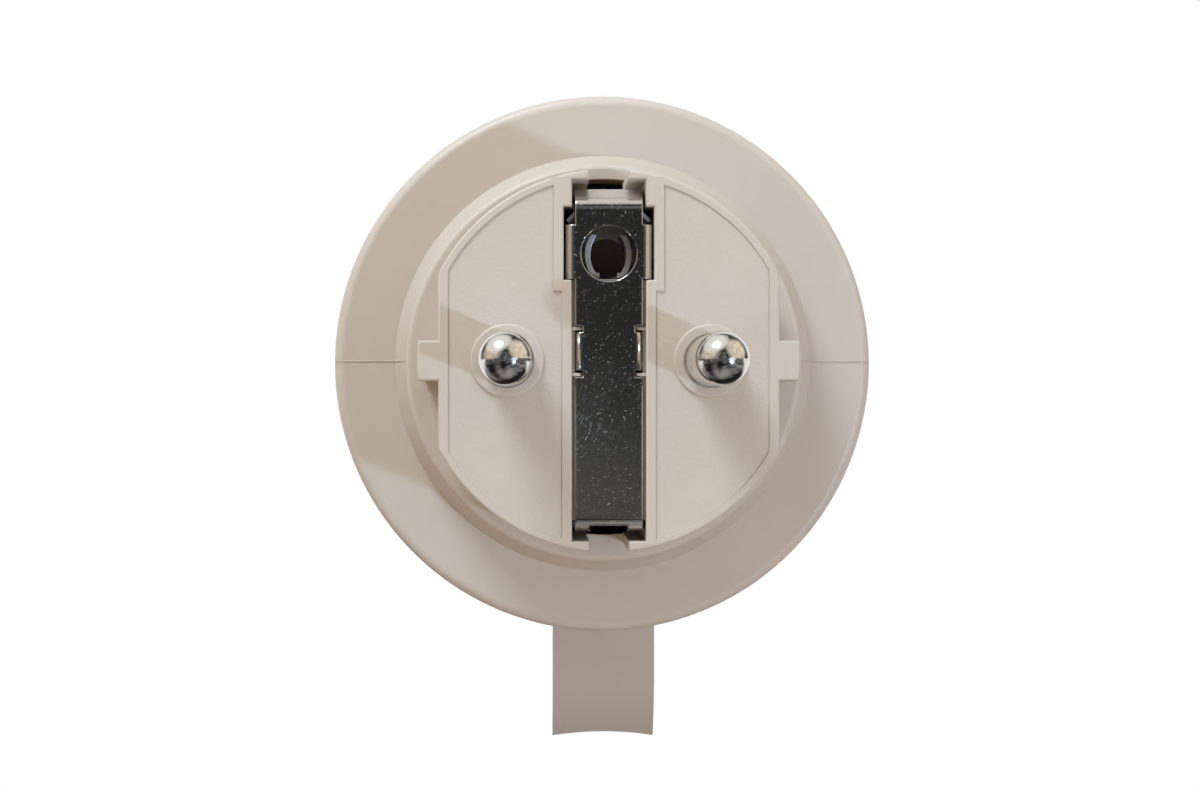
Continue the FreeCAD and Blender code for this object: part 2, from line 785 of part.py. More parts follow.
def plug_insert():
    """The moulded face: rim, recessed panels, pin bosses and the earth channel."""
    body = new_body("plug_insert")
    back = "insert_depth + insert_spigot_length"
    extrude(body, "Y", "0", "insert_depth", circle("0", "0", "insert_radius"))
    rib = "guide_rib_width / 2"
    window = extrude(
        body, "Y", "0", "insert_depth",
        box("insert_half_width", "insert_radius + cut_past", rib, "insert_radius"),
        box("-insert_radius - cut_past", "-insert_half_width", rib, "insert_radius"),
        cut=True,
    )
    mirror(body, window, "XY_Plane")
    extrude(
        body, "Y", "insert_depth", back,
        flatted("insert_radius - insert_spigot_step", "insert_half_width - insert_spigot_step"),
    )
    # The hollow behind the face, then what stands in it
    extrude(
        body, "Y", "face_wall", back,
        flatted(
            "insert_radius - insert_spigot_step - insert_wall",
            "insert_half_width - insert_spigot_step - insert_wall",
        ),
        cut=True,
    )
    extrude(
        body, "Y", "face_wall - weld", "insert_depth",
        box(
            "-chamber_half_width - insert_wall",
            "chamber_half_width + insert_wall",
            "-insert_radius + web_inset",
            "insert_radius - web_inset",
        ),
    )
    carrier = extrude(
        body, "Y", "face_wall - weld", "insert_depth",
        circle("pin_pitch / 2", "0", "pin_carrier_radius"),
    )
    mirror(body, carrier, "YZ_Plane")
    # Recessed panels inside the rim, with the channel's own rims left standing
    extrude(
        body, "Y", "0", "panel_recess",
        flatted("insert_radius - rim_width", "insert_half_width - rim_width"),
        cut=True,
    )
    lower_rim = "channel_half_width + channel_rim_width"
    upper_rim = "chamber_half_width + channel_rim_width"
    jog = "wing_low - channel_rim_width - channel_jog_gap"
    edge = "insert_radius - channel_end_inset"
    extrude(
        body, "Y", "0", "panel_recess",
        outline(
            ("-(" + lower_rim + ")", "-(" + edge + ")"),
            (lower_rim, "-(" + edge + ")"),
            (lower_rim, jog),
            (upper_rim, jog),
            (upper_rim, edge),
            ("-(" + upper_rim + ")", edge),
            ("-(" + upper_rim + ")", jog),
            ("-(" + lower_rim + ")", jog),
        ),
    )
    boss = extrude(
        body, "Y", "0", "panel_recess",
        circle("pin_pitch / 2", "0", "pin_boss_radius"),
    )
    mirror(body, boss, "YZ_Plane")
    # Channel for the strip, chamber for the receptacle, slots for the legs
    extrude(
        body, "Y", "0", "strip_thickness + channel_play",
        box("-channel_half_width", "channel_half_width", "-channel_bottom", "channel_top"),
        cut=True,
    )
    extrude(
        body, "Y", "0", "chamber_depth",
        box(
            "-chamber_half_width", "chamber_half_width",
            "wing_low - fit_gap", "chamber_high",
        ),
        cut=True,
    )
    extrude(
        body, "Y", "0", "leg_slope_end",
        box(
            "-channel_half_width", "channel_half_width",
            "chamber_high - notch_overlap", "channel_top - notch_overlap",
        ),
        cut=True,
    )
    extrude(
        body, "Y", "0", back,
        box(
            "-channel_half_width", "channel_half_width",
            "channel_top - leg_slot_depth", "channel_top",
        ),
        box(
            "-channel_half_width", "channel_half_width",
            "-channel_bottom", "leg_slot_depth - channel_bottom",
        ),
        cut=True,
    )
    extrude(
        body, "Y", "insert_depth - earth_bar_overlap - fit_gap", back,
        box(
            "-earth_bar_half_width - fit_gap", "earth_bar_half_width + fit_gap",
            "earth_bar_low - sheet_play", "channel_top - leg_slot_depth / 2",
        ),
        cut=True,
    )
    extrude(
        body, "Y", "0", "chamber_depth",
        circle(
            "0", "earth_hole_height", "earth_hole_radius + earth_collar_wall + fit_gap",
        ),
        cut=True,
    )
    extrude(
        body, "Y", "0", "earth_pin_pocket",
        circle("0", "earth_hole_height", "earth_hole_radius"), cut=True,
    )
    notch = "clip_notch_half_width"
    extrude(
        body, "Y", "0", back,
        box("-" + notch, notch, "channel_top - notch_overlap", "insert_radius + cut_past"),
        box("-" + notch, notch, "-insert_radius - cut_past", "notch_overlap - channel_bottom"),
        cut=True,
    )
    extrude(
        body, "Y", "0", "ear_length + ear_pocket_gap",
        box(
            "-strip_half_width", "strip_half_width",
            "waist_low + ear_pocket_land", "waist_high - ear_pocket_land",
        ),
        cut=True,
    )
    # Nubs that hold the strip by the ends of its waist
    nub_inner = "channel_half_width - nub_width"
    nubs = extrude(
        body, "Y", "nub_setback", "strip_thickness + weld",
        box(
            nub_inner, "channel_half_width",
            "waist_low + fit_gap", "waist_low + ear_pocket_land",
        ),
        box(
            nub_inner, "channel_half_width",
            "waist_high - ear_pocket_land", "waist_high - fit_gap",
        ),
    )
    mirror(body, nubs, "YZ_Plane")
    bore = extrude(
        body, "Y", "0", "insert_depth",
        circle("pin_pitch / 2", "0", "pin_shank_radius + pin_bore_gap"), cut=True,
    )
    mirror(body, bore, "YZ_Plane")


def contact_pin(label, side):
    """A turned pin: round nose, shank held in the insert, tail through the board."""
    body = new_body(label)
    revolve(
        body,
        ("0", "-pin_length"),
        ("pin_radius", "pin_radius - pin_length", "0", "pin_radius - pin_length"),
        ("pin_radius", "0"),
        ("pin_shank_radius", "0"),
        ("pin_shank_radius", "pin_neck_start"),
        ("pin_neck_radius", "pin_neck_start + pin_neck_slope"),
        ("pin_neck_radius", "pin_neck_end - pin_neck_slope"),
        ("pin_shank_radius", "pin_neck_end"),
        ("pin_shank_radius", "insert_depth + pin_shoulder_offset"),
        ("pin_tail_radius", "insert_depth + pin_shoulder_offset"),
        ("pin_tail_radius", "board_front_y + pin_tail_proud"),
        ("0", "board_front_y + pin_tail_proud"),
    )
    body.setExpression("Placement.Base.x", bound(f"{side} * pin_pitch / 2"))


def earth_strip():
    """Folded plated strip: face with a drawn hole, side wings, ears and two legs."""
    body = new_body("earth_strip")
    half = "strip_half_width"
    right = [
        (half, "-strip_bottom"),
        (half, "waist_low"),
        ("waist_half_width", "waist_low"),
        ("waist_half_width", "waist_high"),
        (half, "waist_high"),
        (half, "wing_low"),
        ("wing_half_width", "wing_low"),
        ("wing_half_width", "wing_high"),
        (half, "wing_high"),
        (half, "strip_top - strip_thickness / 2"),
    ]
    left = [("-" + across, up) for across, up in reversed(right)]
    extrude(body, "Y", "0", "strip_thickness", outline(*right, *left))
    # The upper leg leans outward before it runs straight back
    inner = "strip_top - strip_thickness"
    extrude(
        body, "X", "-" + half, half,
        outline(
            ("0", inner),
            ("0", "strip_top"),
            ("leg_slope_end", "strip_top + leg_rise"),
            ("strip_leg_length", "strip_top + leg_rise"),
            ("strip_leg_length", inner + " + leg_rise"),
            ("leg_slope_end", inner + " + leg_rise"),
            ("strip_thickness", inner),
        ),
    )
    extrude(
        body, "Y", "strip_thickness / 2", "strip_leg_length",
        box("-" + half, half, "-strip_bottom", "strip_thickness - strip_bottom"),
    )
    round_edges(body, "strip_bend", bar_edge("x", y=["0"], z=["strip_top"]))
    round_edges(body, "strip_foot_bend", bar_edge("x", y=["0"], z=["-strip_bottom"]))
    slot = "strip_slot_half_width"
    extrude(
        body, "Y", "0", "strip_leg_length - strip_slot_land",
        box("-" + slot, slot, "-strip_bottom - cut_past", "strip_slot_depth - strip_bottom"),
        cut=True,
    )
    wing = extrude(
        body, "Y", "strip_thickness / 2", "wing_length",
        box("wing_half_width - wing_wall", "wing_half_width", "wing_low", "wing_high"),
    )
    mirror(body, wing, "YZ_Plane")
    ear_edge = "strip_half_width - ear_inset"
    ear = extrude(
        body, "Y", "0", "ear_length",
        box("waist_half_width - ear_root", ear_edge, "ear_low", "ear_high"),
    )
    mirror(body, ear, "YZ_Plane")
    extrude(
        body, "Y", "strip_thickness / 2", "earth_collar_length",
        circle("0", "earth_hole_height", "earth_hole_radius + earth_collar_wall"),
    )
    extrude(
        body, "Y", "0", "earth_collar_length",
        circle("0", "earth_hole_height", "earth_hole_radius"), cut=True,
    )
    round_edges(
        body, "wing_bend",
        bar_edge("z", y=["0"], x=["wing_half_width", "-wing_half_width"]),
    )
    round_edges(
        body, "ear_bend",
        bar_edge("z", y=["0"], x=[ear_edge, f"-({ear_edge})"]),
    )


def earth_receptacle():
    """Sprung contact behind the strip: two bowed leaves, shoulders and side arms."""
    body = new_body("earth_receptacle")
    start = "earth_collar_length + receptacle_gap"
    hole = "earth_hole_height"
    middle = "(leaf_curve_radius - leaf_gap / 2)"
    outer = "(leaf_curve_radius + leaf_thickness)"
    inner_end = f"{middle} - sqrt(leaf_curve_radius ^ 2 - leaf_half_height ^ 2)"
    outer_end = f"{middle} - sqrt({outer} ^ 2 - leaf_half_height ^ 2)"
    low = hole + " - leaf_half_height"
    high = hole + " + leaf_half_height"
    leaf = extrude(
        body, "Y", start, "leaf_end",
        outline(
            (outer_end, low, middle, hole),
            (inner_end, low),
            ("-leaf_gap / 2", hole, middle, hole),
            (inner_end, high, middle, hole),
            (outer_end, high),
            (f"{middle} - {outer}", hole, middle, hole),
        ),
    )
    mirror(body, leaf, "YZ_Plane")
    tab = extrude(
        body, "Y", start, start + " + leaf_tab_length",
        box(
            "leaf_tab_inner", "leaf_tab_outer",
            low + " - leaf_tab_height / 2", low + " + leaf_tab_height / 2",
        ),
    )
    mirror(body, tab, "YZ_Plane")
    side = "receptacle_half_width - receptacle_sheet"
    web = extrude(
        body, "Y", "leaf_end - leaf_web_length", "receptacle_depth",
        box(
            "(leaf_gap + leaf_thickness) / 2", side + " + receptacle_sheet / 2",
            hole + " - leaf_web_half_width", hole + " + leaf_web_half_width",
        ),
    )
    mirror(body, web, "YZ_Plane")
    foot = "wing_low + fit_gap"
    back = "receptacle_depth - receptacle_sheet"
    extrude(
        body, "Y", back, "receptacle_depth",
        box(
            "-receptacle_half_width", "receptacle_half_width",
            foot, "chamber_high - receptacle_headroom",
        ),
        circle("0", hole, "(leaf_gap + leaf_thickness) / 2"),
    )
    arm = extrude(
        body, "Y", "wing_length + receptacle_arm_gap", "receptacle_depth",
        box(side, "receptacle_half_width", foot, "wing_high"),
    )
    mirror(body, arm, "YZ_Plane")
    # A curved shoulder runs forward beside each wing's upper end
    thinner = "(1 - shoulder_wall / shoulder_radius)"
    inner_up = "sqrt(shoulder_radius ^ 2 - shoulder_inner ^ 2)"
    outer_up = "sqrt(shoulder_radius ^ 2 - shoulder_outer ^ 2)"
    shoulder = extrude(
        body, "Y", "shoulder_start", "receptacle_depth",
        outline(
            ("shoulder_inner", f"{hole} + {inner_up}"),
            ("shoulder_outer", f"{hole} + {outer_up}", "0", hole),
            (f"shoulder_outer * {thinner}", f"{hole} + {outer_up} * {thinner}"),
            (f"shoulder_inner * {thinner}", f"{hole} + {inner_up} * {thinner}", "0", hole),
        ),
    )
    mirror(body, shoulder, "YZ_Plane")
    # The sill below the leaves is bent from a tab of the back plate
    sill = hole + " - sill_drop"
    extrude(
        body, "Y", start, "receptacle_depth",
        box("-sill_half_width", "sill_half_width", sill, sill + " + sill_height"),
    )
    extrude(
        body, "Y", back, "receptacle_depth",
        box("-sill_half_width", "sill_half_width", sill, foot + " + sill_height"),
    )


# Main housing


def main_housing():
    """Round shell with the socket's ledge, the button frame and hinge knuckles."""
    body = new_body("main_housing")
    snap_y = "joint_y + snap_offset"
    ledge_y = "socket_face_y - plate_thickness"
    revolve(
        body,
        ("bore_radius", "joint_y"),
        ("flange_radius", "joint_y"),
        ("flange_radius", "front_y"),
        ("bore_radius", "front_y"),
        ("bore_radius", ledge_y),
        ("bore_radius - ledge_width", ledge_y),
        ("bore_radius - ledge_width", ledge_y + " - ledge_thickness"),
        ("bore_radius", ledge_y + " - ledge_thickness - ledge_width"),
        ("bore_radius", snap_y + " + snap_width + snap_play"),
        ("bore_radius + snap_height", snap_y + " + snap_width / 2"),
        ("bore_radius", snap_y + " - snap_play"),
    )
    for offset in ("socket_screw_offset", "boss_root_offset"):
        boss = extrude(
            body, "Y", ledge_y + " - screw_length - screw_boss_floor", ledge_y,
            circle(offset, offset, "screw_boss_radius"),
        )
        repeat_round(body, boss, 4)
    hole = extrude(
        body, "Y", ledge_y + " - screw_length", "front_y",
        circle("socket_screw_offset", "socket_screw_offset", "screw_radius"),
        cut=True,
    )
    repeat_round(body, hole, 4)
    # Frame for the button, open through the wall
    frame_half_length = "button_half_length + button_gap + frame_wall"
    frame_half_width = "button_half_width + button_gap + frame_wall"
    extrude(
        body, "Z", "bore_radius - frame_depth", "bore_radius + frame_weld",
        box(
            "-(" + frame_half_length + ")", frame_half_length,
            "button_y - (" + frame_half_width + ")", "button_y + " + frame_half_width,
        ),
    )
    gap = "button_gap"
    extrude(
        body, "Z", "bore_radius - frame_depth", "flange_radius + cut_past",
        box(
            f"-button_half_length - {gap}", f"button_half_length + {gap}",
            f"button_y - button_half_width - {gap}", f"button_y + button_half_width + {gap}",
        ),
        cut=True,
    )
    seal_length = "button_half_length + seal_wall + seal_gap"
    seal_width = "button_half_width + seal_wall + seal_gap"
    extrude(
        body, "Z", "bore_radius - frame_depth", "bore_radius - frame_depth + seal_height",
        box(
            "-(" + seal_length + ")", seal_length,
            "button_y - (" + seal_width + ")", "button_y + " + seal_width,
        ),
        cut=True,
    )
    extrude(
        body, "Z", "bore_radius - cut_past", "flange_radius + cut_past",
        circle("0", "guide_y", "guide_radius + guide_gap"), cut=True,
    )
    # Hinge: two outer knuckles with their brackets, and room for the lid's own
    inner = "lid_knuckle_outer + knuckle_gap"
    knuckle = extrude(
        body, "X", inner, "hinge_half_length",
        outline(
            ("hinge_y + knuckle_radius", "hinge_height"),
            ("hinge_y", "hinge_height + knuckle_radius", "hinge_y", "hinge_height"),
            ("hinge_y - knuckle_radius", "hinge_height", "hinge_y", "hinge_height"),
            ("hinge_y - 2 * knuckle_radius", "flange_radius - wall / 2"),
            ("front_y", "flange_radius - wall / 2"),
        ),
    )
    mirror(body, knuckle, "YZ_Plane")
    reach = "knuckle_radius + knuckle_clearance"
    extrude(
        body, "X", "-(" + inner + ")", inner,
        circle("hinge_y", "hinge_height", reach), cut=True,
    )
    bore = "hinge_pin_radius + hinge_bore_clearance"
    extrude(
        body, "X", "-hinge_half_length", "hinge_half_length",
        circle("hinge_y", "hinge_height", bore), cut=True,
    )


# Front socket


def clip_windows(body, low, high):
    """Cut the two openings that the earth clips stand in."""
    inner = "strap_reach - strap_thickness - clip_bump - fit_gap"
    clip = "strap_half_width + clip_gap"
    window = extrude(
        body, "Y", low, high,
        box("-(" + clip + ")", clip, inner, "cup_radius + cut_past"), cut=True,
    )
    mirror(body, window, "XY_Plane")


def socket_insert():
    """Recess cup with its face plate, guide noses and a seat for the floor."""
    body = new_body("socket_insert")
    plate_back = "socket_face_y - plate_thickness"
    edge = "bore_radius - plate_gap"
    seat = "recess_radius + floor_seat"
    revolve(
        body,
        (seat, "floor_back_y"),
        ("cup_radius", "floor_back_y"),
        ("cup_radius", plate_back),
        (edge, plate_back),
        (edge, "socket_face_y"),
        ("cup_radius", "socket_face_y"),
        ("cup_radius", "lip_y"),
        ("recess_radius", "lip_y"),
        ("recess_radius", "floor_y"),
        (seat, "floor_y"),
    )
    nose = "guide_nose_width / 2"
    guide = extrude(
        body, "Y", "floor_y", "lip_y - guide_nose_setback",
        box(
            "recess_radius - guide_nose_reach", "recess_radius + guide_nose_root",
            "-" + nose, nose,
        ),
    )
    mirror(body, guide, "YZ_Plane")
    clip_windows(body, "floor_back_y", "floor_y + strap_clip_length + clip_headroom")
    screw_hole = extrude(
        body, "Y", plate_back, "socket_face_y",
        circle("socket_screw_offset", "socket_screw_offset", "screw_radius + screw_gap"),
        cut=True,
    )
    repeat_round(body, screw_hole, 4)
    head = extrude(
        body, "Y", "socket_face_y - screw_head_recess", "socket_face_y",
        circle("socket_screw_offset", "socket_screw_offset", "screw_boss_radius"),
        cut=True,
    )
    repeat_round(body, head, 4)


def socket_floor():
    """Disc seated in the cup: pin holes, posts for the carrier, shutter pivot."""
    body = new_body("socket_floor")
    extrude(
        body, "Y", "floor_back_y", "floor_y",
        circle("0", "0", "recess_radius + floor_seat - sheet_play"),
    )
    hole = extrude(
        body, "Y", "floor_back_y", "floor_y",
        circle("pin_pitch / 2", "0", "socket_hole_radius"), cut=True,
    )
    mirror(body, hole, "YZ_Plane")
    clip_windows(body, "floor_back_y", "floor_y")
    post = extrude(
        body, "Y", "carrier_front_y", "floor_back_y + weld",
        circle("post_offset", "post_offset", "post_radius"),
    )
    repeat_round(body, post, 4)
    pilot = extrude(
        body, "Y", "carrier_front_y", "floor_back_y + post_pilot_depth",
        circle("post_offset", "post_offset", "screw_radius"),
        cut=True,
    )
    repeat_round(body, pilot, 4)
    extrude(
        body, "Y", "carrier_front_y", "floor_back_y + weld",
        circle("0", "0", "pivot_radius"),
    )


def contact_carrier():
    body = new_body("contact_carrier")
    extrude(
        body, "Y", "carrier_back_y", "carrier_front_y",
        circle("0", "0", "cup_radius - carrier_inset"),
    )
    hole = extrude(
        body, "Y", "carrier_back_y", "carrier_front_y",
        circle("pin_pitch / 2", "0", "socket_hole_radius + carrier_hole_gap"), cut=True,
    )
    mirror(body, hole, "YZ_Plane")
    clip_windows(body, "carrier_back_y", "carrier_front_y")
    screw = extrude(
        body, "Y", "carrier_back_y", "carrier_front_y",
        circle("post_offset", "post_offset", "screw_radius + screw_gap"),
        cut=True,
    )
    repeat_round(body, screw, 4)
    extrude(
        body, "Y", "carrier_front_y - spring_pocket_depth", "carrier_front_y",
        circle("0", "0", "spring_pocket_radius"), cut=True,
    )


def socket_contact(label, side):
    """A slit sleeve that grips a mating pin, on a foot soldered to the board."""
    body = new_body(label)
    front = "carrier_back_y - fit_gap"
    base = "carrier_back_y - fit_gap - contact_length"
    inner = "pin_radius + contact_grip"
    outer = inner + " + contact_wall"
    extrude(body, "Y", base, front, circle("0", "0", outer), circle("0", "0", inner))
    slit = "contact_slit_half_width"
    reach = outer + " + cut_past"
    extrude(
        body, "Y", base + " + contact_collar_length", front,
        box("-" + slit, slit, f"-({reach})", reach), cut=True,
    )
    extrude(body, "Y", base + " - contact_base", base, circle("0", "0", outer))
    extrude(
        body, "Y", "board_front_y - foot_into_board", base,
        box("-foot_half_width", "foot_half_width", "foot_low", "foot_low + contact_wall"),
    )
    body.setExpression("Placement.Base.x", bound(f"{side} * pin_pitch / 2"))


def socket_earth_strap():
    """One bent strap whose two ends are the earth clips of the recess."""
    body = new_body("socket_earth_strap")
    reach = "strap_reach"
    inner = "strap_reach - strap_thickness"
    tip = "floor_y + strap_clip_length"
    bump = "floor_y + clip_bump_height"
    edge = "cup_radius - clip_tip_gap"
    upper = [
        ("strap_front_y", inner),
        ("floor_y", inner),
        (bump, inner + " - clip_bump"),
        (tip, inner + " + clip_flare"),
        (tip, edge),
        (tip + " - strap_thickness", edge),
        (tip + " - strap_thickness", inner + " + clip_fold"),
        (bump, reach + " - clip_bump"),
        ("floor_y", reach),
        ("strap_back_y", reach),
    ]
    lower = [(along, f"-({up})") for along, up in reversed(upper)]
    extrude(body, "X", "-strap_half_width", "strap_half_width", outline(*upper, *lower))


def shutter():
    """Turning plate whose two lobes close the pin holes."""
    body = new_body("shutter")
    low = "shutter_back_y"
    high = "shutter_front_y"
    arm = "shutter_arm_half_width"
    extrude(body, "Y", low, high, circle("0", "0", "pivot_radius + shutter_hub_wall"))
    extrude(body, "Y", low, high, box("-pin_pitch / 2", "pin_pitch / 2", "-" + arm, arm))
    lobe = extrude(body, "Y", low, high, circle("pin_pitch / 2", "0", "shutter_lobe_radius"))
    mirror(body, lobe, "YZ_Plane")
    extrude(body, "Y", low, high, circle("0", "0", "pivot_radius + pivot_clearance"), cut=True)
    round_edges(
        body, "shutter_lobe_round", ring_edge("shutter_lobe_radius", "shutter_front_y")
    )


def coil(wire, radius, turns, height):
    """A wire wound about +Z, with its profile square to it."""
    helix = Part.makeHelix(height / turns, height, radius)
    ring = Part.Circle(FreeCAD.Vector(radius, 0, 0), FreeCAD.Vector(0, 1, 0), wire)
    section = Part.Wire([ring.toShape()])
    return Part.Wire(helix.Edges).makePipeShell([section], True, True)


def straight_wire(begin, end, radius):
    run = end - begin
    return Part.makeCylinder(radius, run.Length, begin, run)


def shutter_spring():
    """Torsion spring round the shutter's pivot, in the carrier's pocket."""
    wire = value("spring_wire_radius")
    radius = value("pivot_radius + shutter_coil_gap")
    low = value("carrier_front_y - shutter_coil_seat")
    height = value("shutter_coil_height")
    angle = value("shutter_leg_angle")
    winding = coil(wire, radius, value("shutter_coil_turns"), height)
    lean = FreeCAD.Rotation(FreeCAD.Vector(0, 0, 1), angle)
    turn = FreeCAD.Rotation(FreeCAD.Vector(1, 0, 0), -90)
    winding.Placement = FreeCAD.Placement(FreeCAD.Vector(0, low, 0), turn * lean)
    across = -radius * math.cos(math.radians(angle))
    up = radius * math.sin(math.radians(angle))
    leg = straight_wire(
        FreeCAD.Vector(across, low + height, up),
        FreeCAD.Vector(across, value("shutter_back_y + shutter_leg_reach"), up),
        wire,
    )
    shaped("shutter_spring", winding.fuse(leg))


# Electronics


def boards():
    body = new_body("main_board")
    extrude(body, "Y", "board_y", "board_front_y", circle("0", "0", "spigot_radius - board_gap"))
    tail = extrude(
        body, "Y", "board_y", "board_front_y",
        circle("pin_pitch / 2", "0", "pin_tail_radius + fit_gap"), cut=True,
    )
    mirror(body, tail, "YZ_Plane")
    foot = extrude(
        body, "Y", "board_y", "board_front_y",
        box(
            "pin_pitch / 2 - foot_half_width - fit_gap",
            "pin_pitch / 2 + foot_half_width + fit_gap",
            "foot_low - fit_gap", "foot_low + contact_wall + fit_gap",
        ),
        cut=True,
    )
    mirror(body, foot, "YZ_Plane")
    screw = extrude(
        body, "Y", "board_y", "board_front_y",
        circle("board_screw_ring", "0", "screw_radius + screw_gap"), cut=True,
    )
    repeat_round(body, screw, 2)
    slot = "earth_bar_half_width + earth_bar_gap"
    extrude(
        body, "Y", "board_y", "board_front_y",
        box(
            "-(" + slot + ")", slot,
            "earth_bar_low - earth_bar_gap", "earth_bar_low + strip_thickness + earth_bar_gap",
        ),
        cut=True,
    )
    brick(
        "control_board",
        "-control_board_half_width", "control_board_half_width",
        "board_front_y", "board_front_y + control_board_length",
        "control_board_height", "control_top",
    )


def earth_bar():
    """Flat conductor from the plug's earth strip to the socket's earth strap."""
    brick(
        "earth_bar",
        "-earth_bar_half_width", "earth_bar_half_width",
        "insert_depth - earth_bar_overlap", "strap_back_y - sheet_play",
        "earth_bar_low", "earth_bar_low + strip_thickness - sheet_play",
    )


def stood(label, left, right, height, low, width, piece=True):
    """A block on the main board."""
    return brick(
        label, left, right, "board_front_y", "board_front_y + " + height,
        low, f"{low} + {width}", piece,
    )


def power_parts():
    """Relay, supply and protection parts standing on the main board."""
    base = "board_front_y"
    stood(
        "relay", "-relay_half_length", "relay_half_length",
        "relay_height", "relay_low", "relay_width",
    )
    stood(
        "filter_capacitor", "filter_left", "filter_left + filter_thickness",
        "filter_height", "filter_low", "filter_length",
    )
    core = brick(
        "inductor_core", "core_left", "core_left + core_length",
        base + " + core_stand", base + " + core_stand + core_height",
        "core_low", "core_low + core_width", False,
    )
    bobbin = stood(
        "inductor_bobbin",
        "core_left + bobbin_end_inset", "core_left + core_length - bobbin_end_inset",
        "bobbin_height", "core_low + bobbin_side_inset",
        "core_width - 2 * bobbin_side_inset", False,
    )
    fused("power_inductor", core, bobbin)
    stood(
        "rectifier", "-rectifier_half_length", "rectifier_half_length",
        "rectifier_height", "rectifier_low", "rectifier_width",
    )
    left, right = "-shunt_half_length", "shunt_half_length"
    leg_a = stood(
        "shunt_leg_a", left, left + " + shunt_thickness",
        "shunt_height", "shunt_low", "shunt_width", False,
    )
    leg_b = stood(
        "shunt_leg_b", right + " - shunt_thickness", right,
        "shunt_height", "shunt_low", "shunt_width", False,
    )
    bridge = brick(
        "shunt_bridge", left, right,
        base + " + shunt_height - shunt_thickness", base + " + shunt_height",
        "shunt_low", "shunt_low + shunt_width", False,
    )
    fused("metering_shunt", leg_a, leg_b, bridge)
    rod(
        "varistor", "X", "varistor_radius",
        ("varistor_left", base + " + varistor_stand + varistor_radius", "varistor_middle"),
        "varistor_thickness",
    )
    rod(
        "fuse", "Z", "fuse_radius",
        ("fuse_across", base + " + part_stand + fuse_radius", "fuse_low"), "fuse_length",
    )
    cans = []
    for name in ("outer_can", "inner_can"):
        foot = FreeCAD.Vector(
            value(name + "_across"), value(base + " + part_stand"), value(name + "_up")
        )
        can = Part.makeCylinder(
            value("can_radius"), value("can_height"), foot, FreeCAD.Vector(0, 1, 0)
        )
        cans.append(can.makeFillet(value("can_round"), [e for e in can.Edges if is_round(e)]))
    shaped("bulk_capacitors", Part.makeCompound(cans))


def control_parts():
    """Radio module, light and push switch on the control board."""
    start = "board_front_y + radio_start"
    back = "control_board_height - radio_sheet"
    plate = brick(
        "radio_plate", "radio_left", "radio_left + radio_width",
        start, start + " + radio_length", back, "control_board_height", False,
    )
    can = brick(
        "radio_can",
        "radio_left + radio_can_inset", "radio_left + radio_width - radio_can_inset",
        start + " + antenna_length", start + " + radio_length - radio_can_setback",
        back + " - radio_can_height", back, False,
    )
    fused("radio_module", plate, can)
    light = "light_half_width"
    brick(
        "status_light", "-" + light, light, "guide_y - " + light, "guide_y + " + light,
        "control_top", "control_top + light_height",
    )
    half = "switch_half_width"
    case = brick(
        "switch_case", "-" + half, half, "button_y - " + half, "button_y + " + half,
        "control_top", "control_top + switch_case_height", False,
    )
    stem = rod(
        "switch_stem", "Z", "stem_radius", ("0", "button_y", "control_top"),
        "button_underside - button_travel - switch_gap - control_top", False,
    )
    fused("push_switch", case, stem)
    rod(
        "light_guide", "Z", "guide_radius", ("0", "guide_y", "guide_foot"),
        "flange_radius + guide_proud - guide_foot",
    )


# Button


def power_button():
    body = new_body("power_button")
    extrude(
        body, "Z", "button_underside", "flange_radius + button_proud",
        box(
            "-button_half_length", "button_half_length",
            "button_y - button_half_width", "button_y + button_half_width",
        ),
    )
    corner = ["button_y - button_half_width", "button_y + button_half_width"]
    round_edges(
        body, "button_corner",
        bar_edge("z", x=["button_half_length", "-button_half_length"], y=corner),
    )
    round_edges(
        body, "button_round",
        lambda edge: abs(edge.CenterOfMass.z - value("flange_radius + button_proud")) < NEAR,
    )
    length = "button_half_length + button_flange"
    width = "button_half_width + button_flange"
    extrude(
        body, "Z", "button_underside", "button_underside + button_flange_thickness",
        box(
            "-(" + length + ")", length,
            "button_y - (" + width + ")", "button_y + " + width,
        ),
    )


def button_seal():
    """Silicone wiper ring in the counterbore round the button."""
    body = new_body("button_seal")
    low = "bore_radius - frame_depth + seal_play"
    high = "bore_radius - frame_depth + seal_height - seal_play"
    outer_length = "button_half_length + seal_wall"
    outer_width = "button_half_width + seal_wall"
    extrude(
        body, "Z", low, high,
        box(
            "-(" + outer_length + ")", outer_length,
            "button_y - (" + outer_width + ")", "button_y + " + outer_width,
        ),
    )
    gap = "wiper_gap"
    extrude(
        body, "Z", low, high,
        box(
            f"-button_half_length - {gap}", f"button_half_length + {gap}",
            f"button_y - button_half_width - {gap}", f"button_y + button_half_width + {gap}",
        ),
        cut=True,
    )


# Lid


